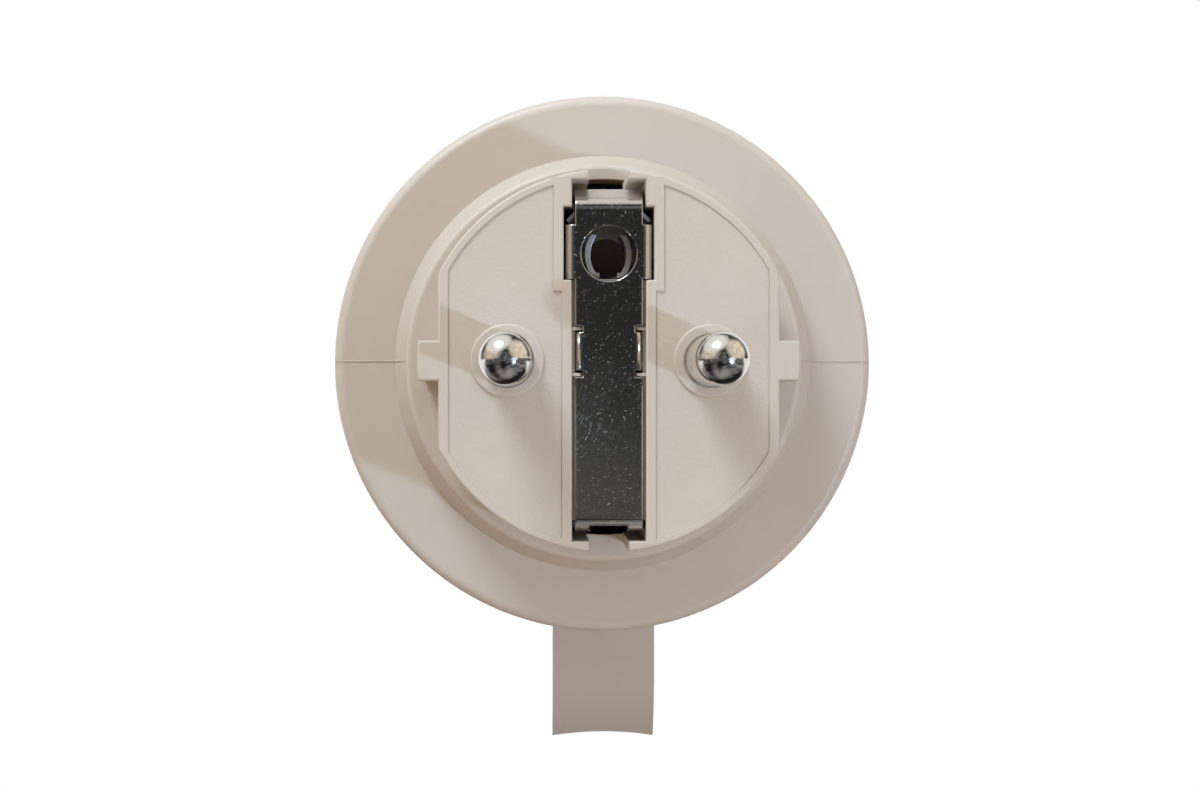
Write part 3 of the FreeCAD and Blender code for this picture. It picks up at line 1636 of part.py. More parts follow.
def lid():
    """Crowned cover with a gasket groove, lift tongue and hinge knuckles."""
    body = new_body("lid")
    crown_y = "lid_edge_y + lid_crown"
    crown_radius = "(lid_radius ^ 2 + lid_crown ^ 2) / (2 * lid_crown)"
    groove = "lid_y + gasket_depth"
    hollow = "lid_y + lid_hollow_depth"
    revolve(
        body,
        ("0", hollow),
        ("lid_hollow_radius", hollow),
        ("lid_hollow_radius", "lid_y"),
        ("gasket_inner_radius", "lid_y"),
        ("gasket_inner_radius", groove),
        ("gasket_outer_radius", groove),
        ("gasket_outer_radius", "lid_y"),
        ("lid_radius", "lid_y"),
        ("lid_radius", "lid_edge_y"),
        ("0", crown_y, "0", f"{crown_y} - ({crown_radius})"),
    )
    round_edges(body, "lid_edge_round", ring_edge("lid_radius", "lid_edge_y"))
    # Lift tongue: straight behind the lid's edge, then curled forward
    back = "lid_y + tongue_offset"
    front = "lid_y + tongue_offset + tongue_thickness"
    centre = ("lid_y + tongue_offset + tongue_curl_radius", "-tongue_straight_end")
    lean = "sin(tongue_curl_angle * 1 deg)"
    fall = "cos(tongue_curl_angle * 1 deg)"
    outer = "tongue_curl_radius"
    inner = "(tongue_curl_radius - tongue_thickness)"
    extrude(
        body, "X", "tongue_shift - tongue_half_width", "tongue_shift + tongue_half_width",
        outline(
            (front, "tongue_root - lid_radius"),
            (back, "tongue_root - lid_radius"),
            (back, "-tongue_straight_end"),
            (f"{centre[0]} - {outer} * {fall}", f"{centre[1]} - {outer} * {lean}", *centre),
            (f"{centre[0]} - {inner} * {fall}", f"{centre[1]} - {inner} * {lean}"),
            (front, "-tongue_straight_end", *centre),
        ),
    )
    tip = f"tongue_straight_end + {outer} * {lean}"
    extrude(
        body, "Y", "lid_y", centre[0],
        circle(
            "tongue_shift", f"-({tip}) - tongue_scoop_radius + tongue_scoop_depth",
            "tongue_scoop_radius",
        ),
        cut=True,
    )
    # Hinge knuckles, and notches that clear the housing's own
    knuckle = extrude(
        body, "X", "lid_knuckle_inner", "lid_knuckle_outer",
        outline(
            ("hinge_y - knuckle_radius", "hinge_height"),
            ("hinge_y", "hinge_height - knuckle_radius", "hinge_y", "hinge_height"),
            ("lid_y", "hinge_height - knuckle_radius"),
            ("lid_y", "gasket_outer_radius + knuckle_root_gap"),
            ("hinge_y + knuckle_radius", "gasket_outer_radius + knuckle_root_gap"),
            ("hinge_y + knuckle_radius", "hinge_height"),
            ("hinge_y", "hinge_height + knuckle_radius", "hinge_y", "hinge_height"),
        ),
    )
    mirror(body, knuckle, "YZ_Plane")
    reach = "knuckle_radius + knuckle_clearance"
    outer_end = "hinge_half_length + knuckle_gap"
    notch = extrude(
        body, "X", "lid_knuckle_outer", outer_end,
        circle("hinge_y", "hinge_height", reach), cut=True,
    )
    mirror(body, notch, "YZ_Plane")
    extrude(
        body, "X", "-lid_knuckle_inner", "lid_knuckle_inner",
        circle("hinge_y", "hinge_height", reach), cut=True,
    )
    extrude(
        body, "X", "-lid_knuckle_outer", "lid_knuckle_outer",
        circle("hinge_y", "hinge_height", "hinge_pin_radius + hinge_bore_clearance"), cut=True,
    )


def lid_gasket():
    body = new_body("lid_gasket")
    low = "lid_y - gasket_proud"
    high = "lid_y + gasket_depth - seal_play"
    inner = "gasket_inner_radius + seal_play"
    outer = "gasket_outer_radius - seal_play"
    shoulder = low + " + gasket_bevel_height"
    revolve(
        body,
        (inner + " + gasket_bevel", low),
        (outer + " - gasket_bevel", low),
        (outer, shoulder),
        (outer, high),
        (inner, high),
        (inner, shoulder),
    )


def hinge_parts():
    rod(
        "hinge_pin", "X", "hinge_pin_radius",
        ("hinge_pin_inset - hinge_half_length", "hinge_y", "hinge_height"),
        "2 * (hinge_half_length - hinge_pin_inset)",
    )
    # Torsion spring round the pin, one leg on the housing and one under the lid
    wire = value("spring_wire_radius")
    leg = value("spring_leg_radius")
    radius = value("hinge_pin_radius + lid_coil_gap")
    half = value("lid_coil_half_length")
    winding = coil(wire, radius, value("lid_coil_turns"), 2 * half)
    turn = FreeCAD.Rotation(FreeCAD.Vector(0, 1, 0), 90)
    centre = FreeCAD.Vector(-half, value("hinge_y"), value("hinge_height"))
    winding.Placement = FreeCAD.Placement(centre, turn)
    begin = centre + FreeCAD.Vector(0, 0, -radius)
    end = centre + FreeCAD.Vector(2 * half, 0, radius)
    inset = FreeCAD.Vector(0, wire / 2, 0)
    run = FreeCAD.Vector(0, value("lid_spring_leg"), 0)
    to_housing = straight_wire(begin + inset, begin - run, leg)
    to_lid = straight_wire(end - inset, end + run, leg)
    shaped("lid_spring", winding.fuse(to_housing).fuse(to_lid))


# Fasteners


def screw(place, direction, radius, length, head_radius, head_height):
    """A pan-head screw whose head rests at a place and whose shank runs on."""
    shank = Part.makeCylinder(radius, length, place, direction)
    head = Part.makeCylinder(head_radius, head_height, place, direction * -1)
    rim = [
        edge for edge in head.Edges
        if is_round(edge) and (edge.Curve.Center - place).Length > head_height / 2
    ]
    return head.makeFillet(head_height / 3, rim).fuse(shank)


def round_about_axis(ring, angle, station):
    return FreeCAD.Vector(ring * math.cos(angle), station, ring * math.sin(angle))


def fasteners():
    shank = value("screw_radius - thread_gap")
    forward = FreeCAD.Vector(0, 1, 0)
    backward = FreeCAD.Vector(0, -1, 0)
    ring = value("socket_screw_ring")
    seat = value("socket_face_y - screw_head_recess")
    length = value("screw_length - screw_tip_gap")
    head_radius = value("screw_boss_radius - fit_gap")
    head_height = value("screw_head_height")
    shaped("socket_screws", Part.makeCompound([
        screw(
            round_about_axis(ring, angle, seat), backward,
            shank, length, head_radius, head_height,
        )
        for angle in SCREW_TURNS
    ]))
    ring = value("post_ring_radius")
    seat = value("carrier_back_y")
    length = value("carrier_thickness + carrier_gap + carrier_screw_bite")
    head_radius = value("pan_head_radius")
    head_height = value("pan_head_height")
    shaped("carrier_screws", Part.makeCompound([
        screw(
            round_about_axis(ring, angle, seat), forward,
            shank, length, head_radius, head_height,
        )
        for angle in SCREW_TURNS
    ]))
    ring = value("board_screw_ring")
    seat = value("board_front_y")
    length = value("board_screw_length")
    shaped("board_screws", Part.makeCompound([
        screw(
            round_about_axis(ring, angle, seat), backward,
            shank, length, head_radius, head_height,
        )
        for angle in (0, math.pi)
    ]))


def check_pieces():
    """Stop before anything is written if an object failed or a piece is not sound."""
    faults = [
        f"{item.Label} is {state}"
        for item in doc.Objects
        for state in item.State
        if state in ("Invalid", "Error")
    ]
    faults += [
        f"{piece.Label} has no valid shape"
        for piece in PIECES
        if piece.Shape.isNull() or not piece.Shape.isValid()
    ]
    if faults:
        raise RuntimeError("; ".join(faults))


def main():
    fill_sheet()
    rear_housing()
    housing_seal()
    plug_insert()
    contact_pin("live_pin", "-1")
    contact_pin("neutral_pin", "1")
    earth_strip()
    earth_receptacle()
    main_housing()
    socket_insert()
    socket_floor()
    contact_carrier()
    socket_contact("live_contact", "-1")
    socket_contact("neutral_contact", "1")
    socket_earth_strap()
    shutter()
    shutter_spring()
    boards()
    earth_bar()
    power_parts()
    control_parts()
    power_button()
    button_seal()
    lid()
    lid_gasket()
    hinge_parts()
    fasteners()
    doc.recompute()
    check_pieces()
    os.makedirs("parts", exist_ok=True)
    for piece in PIECES:
        piece.Shape.exportStep(os.path.join("parts", piece.Label + ".step"))
        box = piece.Shape.BoundBox
        print(
            f"{piece.Label:20s} solids {len(piece.Shape.Solids)} volume {piece.Shape.Volume:9.1f}"
            f"  x {box.XMin:6.1f} {box.XMax:6.1f}  y {box.YMin:6.1f} {box.YMax:6.1f}"
            f"  z {box.ZMin:6.1f} {box.ZMax:6.1f}"
        )


main()
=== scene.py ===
"""Studio scene of a round outdoor smart plug, seen from its plug side."""
import math

import bmesh
import bpy
from mathutils import Matrix, Vector

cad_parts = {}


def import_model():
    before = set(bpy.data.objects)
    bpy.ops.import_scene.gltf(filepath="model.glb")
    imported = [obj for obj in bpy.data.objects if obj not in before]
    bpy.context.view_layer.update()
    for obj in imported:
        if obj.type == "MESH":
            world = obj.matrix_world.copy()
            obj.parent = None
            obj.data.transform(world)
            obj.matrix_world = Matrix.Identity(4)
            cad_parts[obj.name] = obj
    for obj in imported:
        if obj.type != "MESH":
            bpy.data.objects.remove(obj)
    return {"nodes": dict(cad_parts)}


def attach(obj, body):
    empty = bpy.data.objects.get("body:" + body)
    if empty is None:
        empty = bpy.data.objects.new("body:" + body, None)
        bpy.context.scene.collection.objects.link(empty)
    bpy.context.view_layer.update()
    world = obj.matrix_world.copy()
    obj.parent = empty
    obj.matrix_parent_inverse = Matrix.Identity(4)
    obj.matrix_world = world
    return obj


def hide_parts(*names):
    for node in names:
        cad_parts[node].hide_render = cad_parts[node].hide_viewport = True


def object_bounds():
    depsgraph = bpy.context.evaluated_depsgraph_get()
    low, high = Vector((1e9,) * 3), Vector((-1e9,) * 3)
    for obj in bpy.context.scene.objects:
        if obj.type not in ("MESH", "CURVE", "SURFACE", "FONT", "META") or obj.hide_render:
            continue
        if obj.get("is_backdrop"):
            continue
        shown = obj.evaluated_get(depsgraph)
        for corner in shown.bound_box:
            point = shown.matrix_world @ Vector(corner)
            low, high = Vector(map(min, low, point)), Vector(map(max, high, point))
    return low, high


MM = 0.001

# The photograph is 1200 pixels wide. The camera looks along +Y, turned a little to +X.
IMAGE_WIDTH = 1200
FOCAL_PIXELS = 2816
SENSOR_WIDTH = 36.0
CLIP_START = 0.01
CLIP_END = 20
CAMERA_PLACE = Vector((-7.4, -262.7, -3.3)) * MM
CAMERA_YAW = math.radians(-1.43)

# Light: a small cool key from the lower right, a softer lamp from the upper left,
# and warm fill from the room and the floor
KEY_DIRECTION = (0.736, -1.0, -0.312)
TOP_DIRECTION = (-0.392, -0.375, 0.84)
KEY_TINT = (0.74, 0.97, 1.29)
TOP_TINT = (0.87, 1.0, 1.13)

# Lamps: direction, distance and diameter in metres, level, tint
LAMPS = {
    "key": (KEY_DIRECTION, 0.7, 0.035, 0.21, KEY_TINT),
    "key_shade": (KEY_DIRECTION, 0.72, 0.42, 0.066, KEY_TINT),
    "soft_top": (TOP_DIRECTION, 0.9, 0.35, 0.3, TOP_TINT),
}

# Pale fields of the room: direction, angles from it at which the field starts and is
# full, level
BACKDROP = ((0, 1, 0), 60, 44, 1)
SOFTBOX = ((-0.42, -0.15, 0.88), 50, 34, 1)
LEFT_WALL = ((-0.85, -0.35, 0.35), 52, 20, 0.46)
RIGHT_WALL = ((0.8, -0.35, 0.48), 50, 30, 0.62)
WHITE = (1, 1, 1)
SOFTBOX_TINT = (0.9, 0.89, 0.87)
WALL_TINT = (1.17, 1.0, 0.78)
ROOM_TINT = (0.94, 1.0, 1.04)

# Clouds in the dark of the room and of the floor: the range of the noise, and of the
# level that it becomes. The floor's clouds are a painted reflection, seen only in metal.
CLOUD_DETAIL = 6
ROOM_CLOUD_SCALE = 5
ROOM_CLOUDS = (0.46, 0.68, 0.03, 0.34)
FLOOR_REFLECTION_CLOUD_SCALE = 7
FLOOR_REFLECTION_CLOUDS = (0.46, 0.66, 0.015, 0.36)

# Floor. The camera sees it pale, and what it throws back is dimmer and warmer, with painted
# shade: darker below the object than ahead of it.
FLOOR_DROP = 48 * MM
FLOOR_HALF_SIZE = 2.5
FLOOR_SHADOW_RADIUS = 0.12
FLOOR_FADE = 0.1
FLOOR_PALE = (0.86, 0.86, 0.86)
FLOOR_SHADED_BELOW = (0.34, 0.27, 0.21)
FLOOR_AHEAD = (0.68, 0.54, 0.42)

# Sockets of Blender's colour mix node
MIX_AMOUNT, MIX_FIRST, MIX_SECOND, MIX_RESULT = 0, 6, 7, 2

# Linear colours as they look under plain light
BEIGE = (0.585, 0.512, 0.441)
BEIGE_DARK = (0.545, 0.472, 0.4)
SOCKET_BEIGE = (0.55, 0.48, 0.41)
NICKEL = (0.74, 0.71, 0.67)
STRIP_NICKEL = (0.6, 0.57, 0.53)
CLEAR = (0.86, 0.88, 0.88)
LAMINATE_GREEN = (0.03, 0.17, 0.08)
LAMINATE_PALE = (0.05, 0.24, 0.12)
LAMINATE_WEAVE = 350

# The range that a noise texture mostly covers, and the part of it that shows as blotches
NOISE_RANGE = (0.3, 0.7)
BLOTCH_RANGE = (0.35, 0.7)

# Shading of rounded edges and of plastic
BEVEL_SAMPLES = 6
PLASTIC_SPECULAR = 0.42
PLASTIC_EDGE = 0.12 * MM

# Plain finishes: colour, roughness, nodes
PLAIN_METALS = {
    "brass": ((0.72, 0.52, 0.24), 0.25, ("live_contact", "neutral_contact")),
    "steel": ((0.56, 0.56, 0.55), 0.3, (
        "hinge_pin", "lid_spring", "shutter_spring", "radio_module",
        "socket_screws", "carrier_screws", "board_screws",
    )),
    "copper": ((0.72, 0.38, 0.22), 0.3, ("earth_bar", "metering_shunt")),
}
PLAIN_SOLIDS = {
    "rubber": ((0.02, 0.02, 0.021), 0.62, ("housing_seal", "lid_gasket", "button_seal")),
    "black_plastic": ((0.018, 0.018, 0.02), 0.4, (
        "contact_carrier", "relay", "power_inductor", "rectifier", "push_switch",
    )),
    "button_plastic": ((0.47, 0.405, 0.34), 0.45, ("power_button",)),
    "shutter_plastic": ((0.1, 0.09, 0.08), 0.45, ("shutter",)),
    "film_yellow": ((0.66, 0.4, 0.05), 0.32, ("filter_capacitor",)),
    "varistor_blue": ((0.03, 0.11, 0.4), 0.3, ("varistor",)),
    "fuse_ceramic": ((0.7, 0.67, 0.6), 0.3, ("fuse",)),
    "sleeve_blue": ((0.02, 0.03, 0.08), 0.28, ("bulk_capacitors",)),
    "lamp": ((0.85, 0.9, 0.75), 0.2, ("status_light",)),
}
SHADE_OF_SOLIDS = 0.8

# Depths on the plug face between which its grained panels start and end
PANEL_STARTS = (0.07 * MM, 0.1 * MM)
PANEL_ENDS = (0.14 * MM, 0.17 * MM)

# Heights on the strip between which its scratches come up and go again, and between
# which its upper leg turns satin
SCRATCHES_START = (3 * MM, -6 * MM)
SCRATCHES_END = (-12 * MM, -8 * MM)
LEG_STARTS = (14.8 * MM, 15.3 * MM)
SPECK_SIZE = 0.3 * MM

# The plug face's panels as the CAD has them and as they look. Points nearer to the
# middle than PANEL_INNER_SIDE lie on the panels' straight inner sides.
PANEL_DEPTH = 0.5 * MM
PANEL_RADIUS = 16.85 * MM
PANEL_HALF_WIDTH = 14.9 * MM
PANEL_INNER_SIDE = 5.6 * MM
SHALLOW_DEPTH = 0.12 * MM
WIDE_RADIUS = 17.2 * MM
WIDE_HALF_WIDTH = 15.0 * MM

# How close a point counts as lying on the panels' floor, arc or side, or on the face
DEPTH_SLACK = 0.05 * MM
RADIUS_SLACK = 0.04 * MM
WIDTH_SLACK = 0.03 * MM
FACE_SLACK = 0.01 * MM

# The face's rounded edges. They lie between the flat face, whose normals' Y is beyond
# FACING, and walls whose normals' Y is within UPRIGHT and that reach below WALL_DEPTH,
# which the panels' walls don't.
EDGE_ROUND = 0.2 * MM
EDGE_SEGMENTS = 4
ROUND_PROFILE = 0.5
FACING = 0.99
UPRIGHT = 0.3
WALL_DEPTH = 0.6 * MM

# Joining of the CAD mesh's points and flat triangles, and the angle of a sharp edge
MERGE_DISTANCE = 0.002 * MM
FLAT_ANGLE = math.radians(0.4)
SHARP_ANGLE = math.radians(35)

# The raised rim round each pin, as (radius, y) in millimetres: its outer and inner edge
# by start, corner and end, and how deep its foot is set into the face
RIM_CENTRES = (-9.5, 9.5)
RIM_OUTER_EDGE = ((3.45, 0.0), (3.42, -0.17), (3.2, -0.17))
RIM_INNER_EDGE = ((2.6, -0.17), (2.5, -0.17), (2.5, -0.07))
RIM_FOOT = 0.05
RING_STEPS = 96
ARC_STEPS = 6

# The mould's parting lines, in millimetres: the path from the flange's edge up the
# collar as (distance from the middle, y, lean of the surface in degrees), and the
# line's outline as (lift, share of the width)
LINE_PATH = (
    (27.02, 23.0, 60), (26.86, 22.8, 45), (26.55, 22.58, 24), (26.15, 22.5, 0),
    (21.0, 22.5, 0), (20.97, 22.4, 75), (19.85, 18.25, 75),
)
LINE_OUTLINE = ((-0.1, -0.5), (0.05, -0.4), (0.05, 0.4), (-0.1, 0.5))
LINE_HEIGHT = 0.2
LINE_WIDTH = 0.12


class Nodes:
    """Short calls that add nodes to one node tree."""

    def __init__(self, tree, place):
        self.tree = tree
        self.place = self.add("ShaderNodeTexCoord").outputs[place]

    def add(self, kind, **settings):
        node = self.tree.nodes.new(kind)
        for name, setting in settings.items():
            setattr(node, name, setting)
        return node

    def link(self, source, target):
        self.tree.links.new(source, target)

    def fill(self, item, socket):
        """Give a socket an output, a number or a colour."""
        if isinstance(item, bpy.types.NodeSocket):
            self.link(item, socket)
        elif isinstance(item, (int, float)):
            socket.default_value = item
        else:
            socket.default_value = (*item, 1)

    def noise(self, grain, detail, place=None):
        """Noise whose blotches are about as large as its grain."""
        node = self.add("ShaderNodeTexNoise")
        node.inputs["Scale"].default_value = 1 / grain
        node.inputs["Detail"].default_value = detail
        self.link(place or self.place, node.inputs["Vector"])
        return node.outputs["Fac"]

    def spread(self, source, low, high, to_low, to_high, shape="LINEAR"):
        """Map values between low and high to another range, and clamp the others."""
        node = self.add("ShaderNodeMapRange", interpolation_type=shape)
        for socket, item in zip(node.inputs, (source, low, high, to_low, to_high)):
            self.fill(item, socket)
        return node.outputs[0]

    def math(self, operation, first, second):
        node = self.add("ShaderNodeMath", operation=operation)
        for socket, item in zip(node.inputs, (first, second)):
            self.fill(item, socket)
        return node.outputs[0]

    def axis(self, name):
        parts = self.add("ShaderNodeSeparateXYZ")
        self.link(self.place, parts.inputs[0])
        return parts.outputs[name]

    def blend(self, amount, first, second):
        mix = self.add("ShaderNodeMix", data_type="RGBA")
        self.link(amount, mix.inputs[MIX_AMOUNT])
        self.fill(first, mix.inputs[MIX_FIRST])
        self.fill(second, mix.inputs[MIX_SECOND])
        return mix.outputs[MIX_RESULT]

    def surface(self, kind, amount, first, second):
        """Mix two shaders and link them to an output node of the given kind."""
        mix = self.add("ShaderNodeMixShader")
        for socket, item in zip(mix.inputs, (amount, first, second)):
            self.link(item, socket)
        self.link(mix.outputs[0], self.add(kind).inputs["Surface"])


# Camera, lamps, room and floor


def add_camera():
    forward = Vector((-math.sin(CAMERA_YAW), math.cos(CAMERA_YAW), 0))
    up = Vector((0, 0, 1))
    right = forward.cross(up)
    data = bpy.data.cameras.new("camera")
    data.sensor_fit = "HORIZONTAL"
    data.sensor_width = SENSOR_WIDTH
    data.lens = FOCAL_PIXELS / IMAGE_WIDTH * SENSOR_WIDTH
    data.clip_start = CLIP_START
    data.clip_end = CLIP_END
    camera = bpy.data.objects.new("camera", data)
    axes = Matrix((right, up, -forward)).transposed()
    camera.matrix_world = Matrix.Translation(CAMERA_PLACE) @ axes.to_4x4()
    bpy.context.scene.collection.objects.link(camera)
    bpy.context.scene.camera = camera


def add_lamp(name, direction, distance, size, level, tint):
    """A round lamp that lights a surface square to -Y at the given level, where
    1 shows a colour as it is written."""
    toward = Vector(direction).normalized()
    data = bpy.data.lights.new(name, "AREA")
    data.shape = "DISK"
    data.size = size
    data.energy = level * math.pi ** 2 * distance ** 2 / abs(toward.y)
    data.color = tint
    lamp = bpy.data.objects.new(name, data)
    lamp.location = toward * distance
    lamp.rotation_euler = toward.to_track_quat("Z", "Y").to_euler()
    bpy.context.scene.collection.objects.link(lamp)


def add_world():
    """White behind the object, and on the camera's side a dim room with pale walls
    above and to both sides."""
    world = bpy.data.worlds.new("world")
    world.use_nodes = True
    bpy.context.scene.world = world
    world.node_tree.nodes.clear()
    nodes = Nodes(world.node_tree, "Generated")

    def field(direction, outer, inner, level):
        """A grey round a direction, that starts and is full at angles from it."""
        lean = nodes.add("ShaderNodeVectorMath", operation="DOT_PRODUCT")
        lean.inputs[1].default_value = Vector(direction).normalized()
        nodes.link(nodes.place, lean.inputs[0])
        edges = [math.cos(math.radians(angle)) for angle in (outer, inner)]
        return nodes.spread(lean.outputs["Value"], *edges, 0, level, "SMOOTHSTEP")

    def glow(colour, strength):
        node = nodes.add("ShaderNodeBackground")
        nodes.fill(colour, node.inputs["Color"])
        nodes.fill(strength, node.inputs["Strength"])
        return node.outputs[0]

    clouds = nodes.noise(1 / ROOM_CLOUD_SCALE, CLOUD_DETAIL)
    dim = nodes.spread(clouds, *ROOM_CLOUDS, "SMOOTHSTEP")
    walls = nodes.math("MAXIMUM", field(*LEFT_WALL), field(*RIGHT_WALL))
    room = nodes.add("ShaderNodeAddShader")
    nodes.link(glow(ROOM_TINT, dim), room.inputs[0])
    nodes.link(glow(WALL_TINT, walls), room.inputs[1])
    eye = nodes.add("ShaderNodeLightPath").outputs["Is Camera Ray"]
    white = nodes.math("MAXIMUM", field(*BACKDROP), eye)
    pale = nodes.math("MAXIMUM", field(*SOFTBOX), white)
    bright = glow(nodes.blend(white, SOFTBOX_TINT, WHITE), 1)
    nodes.surface("ShaderNodeOutputWorld", pale, room.outputs[0], bright)


def floor_material():
    """Pale with the object's shadow near it and white further off. Metal sees it glow as a
    painted reflection: white far behind the object, and cloudy and dim elsewhere. What it
    throws back to the object has painted shade below the object."""
    material = bpy.data.materials.new("floor")
    material.use_nodes = True
    material.node_tree.nodes.clear()
    nodes = Nodes(material.node_tree, "Object")
    path = nodes.add("ShaderNodeLightPath")
    eye = path.outputs["Is Camera Ray"]

    reach = nodes.add("ShaderNodeVectorMath", operation="LENGTH")
    nodes.link(nodes.place, reach.inputs[0])
    faded = FLOOR_SHADOW_RADIUS + FLOOR_FADE
    away = nodes.spread(
        reach.outputs["Value"], FLOOR_SHADOW_RADIUS, faded, 0, 1, "SMOOTHSTEP"
    )
    depth = nodes.axis("Y")
    behind = nodes.spread(depth, 0, FLOOR_SHADOW_RADIUS, 0, 1)
    ahead = nodes.spread(depth, 0, -FLOOR_SHADOW_RADIUS, 0, 1, "SMOOTHSTEP")

    # Painted shade: what the floor throws back is darker below the object than ahead of it.
    painted_shade_bounce = nodes.blend(ahead, FLOOR_SHADED_BELOW, FLOOR_AHEAD)
    diffuse = nodes.add("ShaderNodeBsdfDiffuse")
    nodes.link(nodes.blend(eye, painted_shade_bounce, FLOOR_PALE), diffuse.inputs["Color"])

    # Painted reflection: glossy rays see the floor glow, white behind the object and in
    # clouds elsewhere.
    clouds = nodes.noise(1 / FLOOR_REFLECTION_CLOUD_SCALE, CLOUD_DETAIL)
    painted_reflection = nodes.math(
        "MAXIMUM", nodes.math("MULTIPLY", behind, away), nodes.spread(clouds, *FLOOR_REFLECTION_CLOUDS)
    )
    glow = nodes.add("ShaderNodeEmission")
    nodes.fill(WHITE, glow.inputs["Color"])
    nodes.link(nodes.math("MAXIMUM", eye, painted_reflection), glow.inputs["Strength"])

    seen = nodes.math("MULTIPLY", away, eye)
    glowing = nodes.math("MAXIMUM", seen, path.outputs["Is Glossy Ray"])
    nodes.surface("ShaderNodeOutputMaterial", glowing, diffuse.outputs[0], glow.outputs[0])
    return material


def add_floor(level):
    mesh = bpy.data.meshes.new("floor")
    form = bmesh.new()
    bmesh.ops.create_grid(form, x_segments=1, y_segments=1, size=FLOOR_HALF_SIZE)
    form.to_mesh(mesh)
    form.free()
    mesh.materials.append(floor_material())
    floor = bpy.data.objects.new("floor", mesh)
    floor.location.z = level
    floor.visible_shadow = False
    bpy.context.scene.collection.objects.link(floor)
    floor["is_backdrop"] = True


# Materials


class Finish(Nodes):
    """A material on one principled shader, with short calls for its textures."""

    def __init__(self, name, colour, roughness, **sockets):
        self.material = bpy.data.materials.new(name)
        self.material.use_nodes = True
        super().__init__(self.material.node_tree, "Object")
        self.shader = self.tree.nodes["Principled BSDF"]
        self.colour = colour
        self.fill(colour, self.shader.inputs["Base Color"])
        self.fill(roughness, self.shader.inputs["Roughness"])
        for socket, number in sockets.items():
            self.fill(number, self.shader.inputs[socket.replace("_", " ")])
        self.normal = None

    def brushed(self, grain, detail, turn=(0, 0, 0)):
        """Noise with a grain in metres along each axis, turned by degrees."""
        mapping = self.add("ShaderNodeMapping", vector_type="TEXTURE")
        mapping.inputs["Rotation"].default_value = [math.radians(angle) for angle in turn]
        mapping.inputs["Scale"].default_value = grain
        self.link(self.place, mapping.inputs["Vector"])
        return self.noise(1, detail, mapping.outputs["Vector"])

    def scratches(self, grain, turn, low, high, level):
        """Slanting lines where brushed noise is above low, at their level from high."""
        return self.spread(self.brushed(grain, 2, turn), low, high, 0, level)

    def tint(self, amount, other):
        """Mix a second colour in by a texture."""
        mixed = self.blend(amount, self.colour, other)
        self.link(mixed, self.shader.inputs["Base Color"])

    def mottle(self, size, amount, other):
        """Blotches of a second colour, about the given size in metres."""
        self.tint(self.spread(self.noise(size, 3), *BLOTCH_RANGE, 0, amount), other)

    def rough(self, source, low, high):
        roughness = self.spread(source, *NOISE_RANGE, low, high)
        self.link(roughness, self.shader.inputs["Roughness"])

    def bend(self, normal):
        self.normal = normal
        self.link(normal, self.shader.inputs["Normal"])

    def round_edges(self, radius):
        bevel = self.add("ShaderNodeBevel", samples=BEVEL_SAMPLES)
        bevel.inputs["Radius"].default_value = radius
        self.bend(bevel.outputs[0])

    def bump(self, height, depth):
        node = self.add("ShaderNodeBump")
        node.inputs["Distance"].default_value = depth
        node.inputs["Strength"].default_value = 1
        self.link(height, node.inputs["Height"])
        if self.normal:
            self.link(self.normal, node.inputs["Normal"])
        self.bend(node.outputs[0])


def moulded(name, colour, roughness, grain_depth, edge=PLASTIC_EDGE):
    """Moulded plastic: satin, faintly mottled, with a fine grain."""
    finish = Finish(name, colour, roughness, Specular_IOR_Level=PLASTIC_SPECULAR)
    finish.round_edges(edge)
    finish.mottle(size=9 * MM, amount=0.45, other=BEIGE_DARK)
    grain = finish.noise(grain=0.22 * MM, detail=2)
    finish.rough(grain, roughness - 0.05, roughness + 0.07)
    finish.bump(grain, grain_depth)
    return finish


def insert_plastic():
    """The plug face: grained panels in a smoother rim, bosses and side walls."""
    finish = moulded(
        "insert_plastic", BEIGE, roughness=0.46, grain_depth=0.004 * MM, edge=0.1 * MM
    )
    depth = finish.axis("Y")
    below_rim = finish.spread(depth, *PANEL_STARTS, 0, 1)
    above_walls = finish.spread(depth, *PANEL_ENDS, 1, 0)
    on_panel = finish.math("MULTIPLY", below_rim, above_walls)
    grain = finish.noise(grain=0.32 * MM, detail=2.5)
    finish.bump(finish.math("MULTIPLY", grain, on_panel), 0.035 * MM)
    return finish.material


def polished_nickel():
    """Plated pins: bright, with faint clouds and hairlines."""
    finish = Finish("polished_nickel", NICKEL, 0.07, Metallic=1.0)
    finish.rough(finish.noise(grain=0.7 * MM, detail=5), 0.06, 0.2)
    finish.bump(finish.noise(grain=0.9 * MM, detail=4), 0.016 * MM)
    hairlines = finish.scratches(
        grain=(0.9 * MM, 0.04 * MM, 0.04 * MM), turn=(0, 35, 20), low=0.6, high=0.8, level=1
    )
    finish.bump(hairlines, 0.0015 * MM)
    return finish.material


